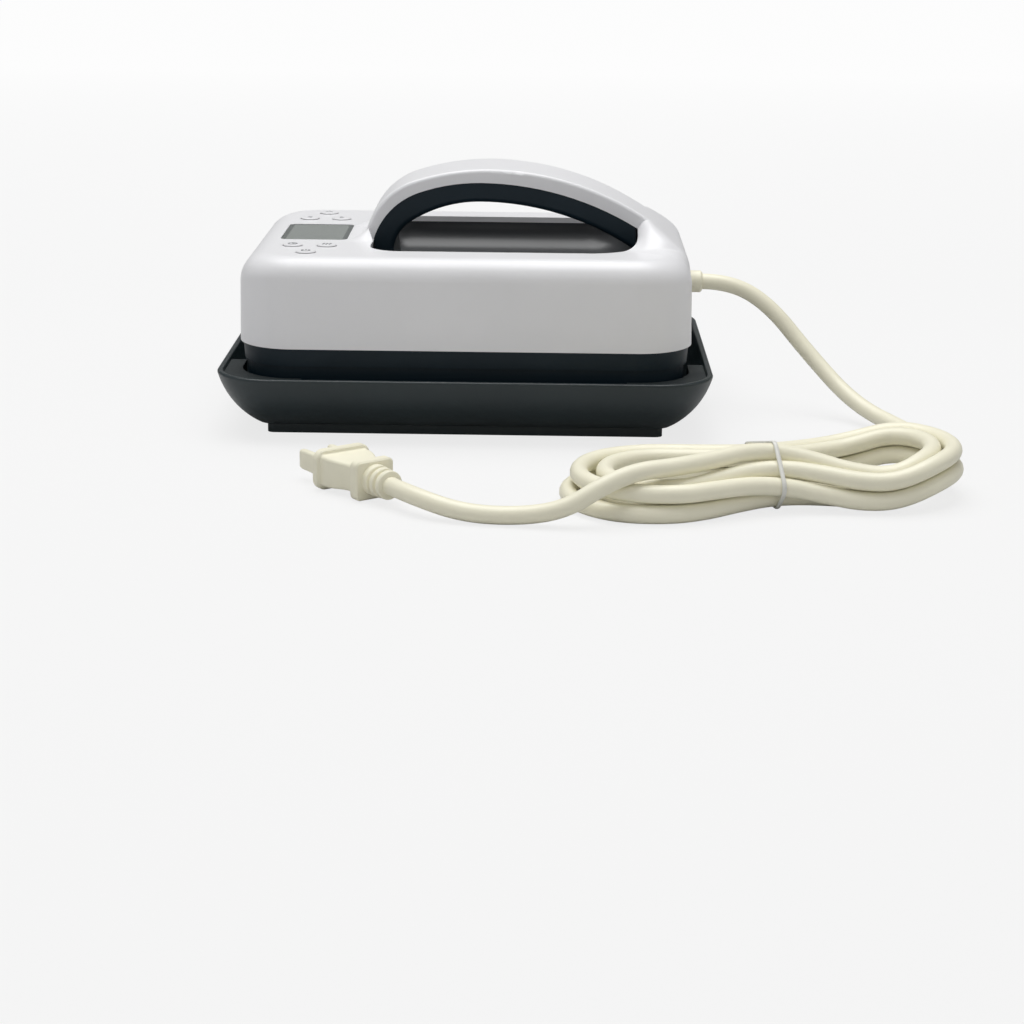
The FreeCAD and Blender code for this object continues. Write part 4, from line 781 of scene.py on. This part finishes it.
def colour_property(name, description, default):
    return FloatVectorProperty(name=name, description=description, subtype="COLOR", size=3,
                               min=0, max=1, default=default)


def length_property(name, description, default):
    return FloatProperty(name=name, description=description, default=default, unit="LENGTH",
                         subtype="DISTANCE", precision=5)


class PressColours(PropertyGroup):
    shell: colour_property("Shell", "White moulded housing", tint(236, 236, 238))
    grip: colour_property("Grip and skirt", "Blue-black soft plastic", tint(8, 31, 42))
    well: colour_property("Well liner", "Dark liner under the handle", tint(46, 48, 50))
    tray: colour_property("Tray", "Charcoal insulated tray", tint(35, 46, 49))
    cord: colour_property("Cord", "Cream vinyl of cord and plug", tint(245, 241, 218))
    crystal: colour_property("Display", "Liquid crystal field", tint(140, 146, 142))
    frame: colour_property("Display border", "Printed border of the display", tint(92, 98, 96))
    border: length_property("Border width", "Border along the display's long sides", 0.0008)
    border_ends: length_property("Border ends", "Border at the display's two ends", 0.0018)
    border_fade: length_property("Border fade", "Soft inner edge of the border", 0.0004)


class FootSizes(PropertyGroup):
    foot_level: length_property("Level", "Panel surface at the handle's foot", 0.076)
    foot_face: length_property("Left face", "X of the handle's left face at the panel", -0.0450)
    foot_rim: length_property("Right end", "X of the flare's right end at the panel", -0.0409)
    foot_half: length_property("Half width", "Half width of the handle", 0.019)
    flare_reach: length_property("Reach", "Flare out from the handle's side", 0.0075)
    flare_rise: length_property("Rise", "Flare up the handle's side", 0.005)
    flare_back: length_property("Back", "Flare along the left face", 0.005)
    flare_corner: length_property("Corner", "Radius of the foot's corner", 0.0006)
    flare_sunk: length_property("Sunk", "Flare below the panel's surface", 0.0001)


class SymbolSizes(PropertyGroup):
    line_width: length_property("Line width", "Width of a printed line", 0.0006)
    relief: length_property("Relief", "Print above the button's crown", 0.00003)
    buried: length_property("Buried", "Print below the crown's top", 0.00012)


class CordSizes(PropertyGroup):
    diameter: length_property("Diameter", "Cord's outer diameter", 0.007)
    length: length_property("Length", "Cord from collar to plug", 1.8)
    hank_x: length_property("Hank X", "Middle of the tied hank", 0.118)
    hank_y: length_property("Hank Y", "Middle of the tied hank", -0.152)
    hank_turn: FloatProperty(name="Hank turn", description="Turn of the hank about Z",
                             default=math.radians(12), subtype="ANGLE", unit="ROTATION")
    tie_width: length_property("Tie width", "Width of the tie", 0.0018)
    tie_thickness: length_property("Tie thickness", "Thickness of the tie", 0.0011)
    lifted_run: length_property("Lifted run", "Run of cord that bends under a lifted press", 0.1)
    facets: IntProperty(name="Facets", description="Bevel steps of the cord", default=6, min=2)


class StageSetup(PropertyGroup):
    key: FloatProperty(name="Top light", description="Power of the large top light", default=28,
                       unit="POWER")
    fill: FloatProperty(name="Front light", description="Power of the front light", default=1.7,
                        unit="POWER")
    sky: FloatProperty(name="Surround", description="Strength of the even surround", default=0.36)
    floor: colour_property("Floor", "Colour of the floor", (0.6, 0.6, 0.6))


# ------------------------------------------------------------ operators

class PRESS_OT_housing(Operator):
    """Finish the shell, skirt, handle grip and well liner"""
    bl_idname = "press.housing"
    bl_label = "Housing"

    def execute(self, context):
        dress("white_shell", "upper_housing")
        dress("grip_black", "hand_grip", "lower_housing")
        dress("well_dark", "well_pan")
        for side in (1, -1):
            build_foot_flare(side, context.scene.press_foot)
        return {"FINISHED"}


class PRESS_OT_tray(Operator):
    """Finish the tray with its pads and mat"""
    bl_idname = "press.tray"
    bl_label = "Tray"

    def execute(self, context):
        dress("tray_dark", "tray_shell")
        dress("pad_rubber", "heat_mat", *nodes_named("corner_pad"))
        return {"FINISHED"}


class PRESS_OT_heater(Operator):
    """Finish the heating plate, what stands on it and the screws"""
    bl_idname = "press.heater"
    bl_label = "Heater"

    def execute(self, context):
        dress("coated_plate", "heating_plate")
        dress("steel", "heat_shield", "heating_element", "thermal_cutoff",
              *nodes_named("case_screw"))
        dress("ceramic_post", *nodes_named("standoff"))
        dress("fibre", "insulation_blanket")
        dress("black_parts", "temperature_sensor")
        return {"FINISHED"}


class PRESS_OT_electronics(Operator):
    """Finish the boards and the parts on them"""
    bl_idname = "press.electronics"
    bl_label = "Electronics"

    def execute(self, context):
        dress("circuit_board", "control_board", "power_board")
        dress("black_parts", "buzzer", "terminal_block", "relay", "transformer", "capacitor",
              "tilt_switch")
        return {"FINISHED"}


class PRESS_OT_panel(Operator):
    """Finish the display and buttons, and print the buttons' symbols"""
    bl_idname = "press.panel"
    bl_label = "Panel"

    def execute(self, context):
        dress("display", "display_module")
        dress("window", "display_window")
        dress("button_white", *symbol_paths())
        build_symbols(context.scene.press_symbols)
        return {"FINISHED"}


class PRESS_OT_cord(Operator):
    """Lay the cord with its hank and tie, and finish the plug"""
    bl_idname = "press.cord"
    bl_label = "Cord"

    def execute(self, context):
        sizes = context.scene.press_cord
        points = cord_points(sizes)
        cord = build_cord(points, sizes)
        tie = build_tie(points, sizes)
        dress("cord_cream", "cord_collar")
        centreline(points)
        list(build_plug())
        return {"FINISHED"}


class PRESS_OT_stage(Operator):
    """Set the floor, the soft lights and the camera"""
    bl_idname = "press.stage"
    bl_label = "Stage"

    def execute(self, context):
        setup = context.scene.press_stage
        build_floor(setup)
        build_lights(setup)
        build_camera()
        context.scene.view_settings.view_transform = "Standard"
        return {"FINISHED"}


FLOOR_HALF, FLOOR_END = 12.0, 2.0
BACKDROP_BEND, BACKDROP_TOP = 1.2, 4.0


def build_floor(setup):
    """Pale floor that rises in a wide curve behind: a profile carried along X.

    Camera rays also see a share of plain white on it, which grows with Y.
    """
    steps = np.radians(np.linspace(0, 90, 25))
    bend = np.stack([FLOOR_END + BACKDROP_BEND * np.sin(steps),
                     BACKDROP_BEND - BACKDROP_BEND * np.cos(steps)], axis=1)
    profile = np.vstack([[(-FLOOR_HALF, 0)], bend, [(FLOOR_END + BACKDROP_BEND, BACKDROP_TOP)]])
    rows = np.array([(x, y, z) for x in (-FLOOR_HALF, FLOOR_HALF) for y, z in profile])
    count = len(profile)
    faces = [[i + 1, i + count + 1, i + count, i] for i in range(count - 1)]
    mesh = bpy.data.meshes.new("floor")
    mesh.from_pydata(rows.tolist(), [], faces)
    mesh.polygons.foreach_set("use_smooth", [True] * len(mesh.polygons))
    floor = bpy.data.objects.new("floor", mesh)
    bpy.context.scene.collection.objects.link(floor)
    finish = Finish("Pale Floor").toned(setup.floor, 0.99, 0.5).set(Roughness=0.9)
    tree = finish.tree
    path, white, mix = (tree.nodes.new(kind) for kind in (
        "ShaderNodeLightPath", "ShaderNodeEmission", "ShaderNodeMixShader"))
    further = map_range(tree, axes_of(tree, object_place(tree))["Y"], From_Min=0.3, From_Max=1.6,
                        To_Min=0.78, To_Max=0.97)
    share = calculate(tree, "MULTIPLY", path.outputs["Is Camera Ray"], further)
    for socket, source in zip(mix.inputs, (share, finish.shader.outputs[0], white.outputs[0])):
        finish.link(source, socket)
    finish.link(mix.outputs[0], tree.nodes["Material Output"].inputs["Surface"])
    mesh.materials.append(finish.material)


def area_light(name, place, target, size, power):
    """Square soft light that looks at a target."""
    data = bpy.data.lights.new(name, "AREA")
    data.size = size
    data.energy = power
    light = bpy.data.objects.new(name, data)
    light.location = place
    toward = Vector(target) - Vector(place)
    light.rotation_euler = toward.to_track_quat("-Z", "Y").to_euler()
    bpy.context.scene.collection.objects.link(light)


def build_lights(setup):
    """Soft lights, and an even surround that camera rays see as white."""
    target = (0, 0, 0.05)
    area_light("top light", (-0.1, 0.2, 1.7), target, 1.5, setup.key)
    area_light("front light", (-0.5, -1.9, 0.9), target, 1.2, setup.fill)
    area_light("side light", (1.5, -0.3, 0.8), target, 0.9, setup.fill / 2)
    world = bpy.data.worlds.new("surround")
    world.use_nodes = True
    tree = world.node_tree
    back = tree.nodes["Background"]
    back.inputs["Color"].default_value = (1, 1, 1, 1)
    path = tree.nodes.new("ShaderNodeLightPath")
    level = map_range(tree, path.outputs["Is Camera Ray"], To_Min=setup.sky)
    tree.links.new(level, back.inputs["Strength"])
    bpy.context.scene.world = world


def build_camera():
    data = bpy.data.cameras.new("camera")
    data.sensor_width = 36
    data.lens = 79.80
    camera = bpy.data.objects.new("camera", data)
    camera.location = (0.032229, -0.993683, 0.235959)
    camera.rotation_euler = [math.radians(angle) for angle in (73.8729, -0.5652, 0.8871)]
    bpy.context.scene.collection.objects.link(camera)
    bpy.context.scene.camera = camera


class PRESS_PT_panel(Panel):
    """Sizes, colours and steps of the heat press"""
    bl_idname = "PRESS_PT_panel"
    bl_label = "Heat press"
    bl_space_type = "VIEW_3D"
    bl_region_type = "UI"
    bl_category = "Heat press"

    def draw(self, context):
        for group in PROPERTIES:
            box = self.layout.box()
            values = getattr(context.scene, group)
            for name in values.bl_rna.properties.keys():
                if name not in ("rna_type", "name"):
                    box.prop(values, name)
        for step in STEPS:
            self.layout.operator(step.bl_idname)


PROPERTIES = {
    "press_colours": PressColours,
    "press_foot": FootSizes,
    "press_symbols": SymbolSizes,
    "press_cord": CordSizes,
    "press_stage": StageSetup,
}
STEPS = (PRESS_OT_stage, PRESS_OT_housing, PRESS_OT_tray, PRESS_OT_heater, PRESS_OT_electronics,
         PRESS_OT_panel, PRESS_OT_cord)


def register():
    for group in PROPERTIES.values():
        bpy.utils.register_class(group)
    for name, group in PROPERTIES.items():
        setattr(bpy.types.Scene, name, PointerProperty(type=group))
    for step in STEPS:
        bpy.utils.register_class(step)
    bpy.utils.register_class(PRESS_PT_panel)


def unregister():
    bpy.utils.unregister_class(PRESS_PT_panel)
    for step in reversed(STEPS):
        bpy.utils.unregister_class(step)
    for name, group in PROPERTIES.items():
        delattr(bpy.types.Scene, name)
        bpy.utils.unregister_class(group)


def main():
    register()
    for step in STEPS:
        package, name = step.bl_idname.split(".")
        getattr(getattr(bpy.ops, package), name)()
    bpy.context.view_layer.update()


if __name__ == "__main__":
    main()
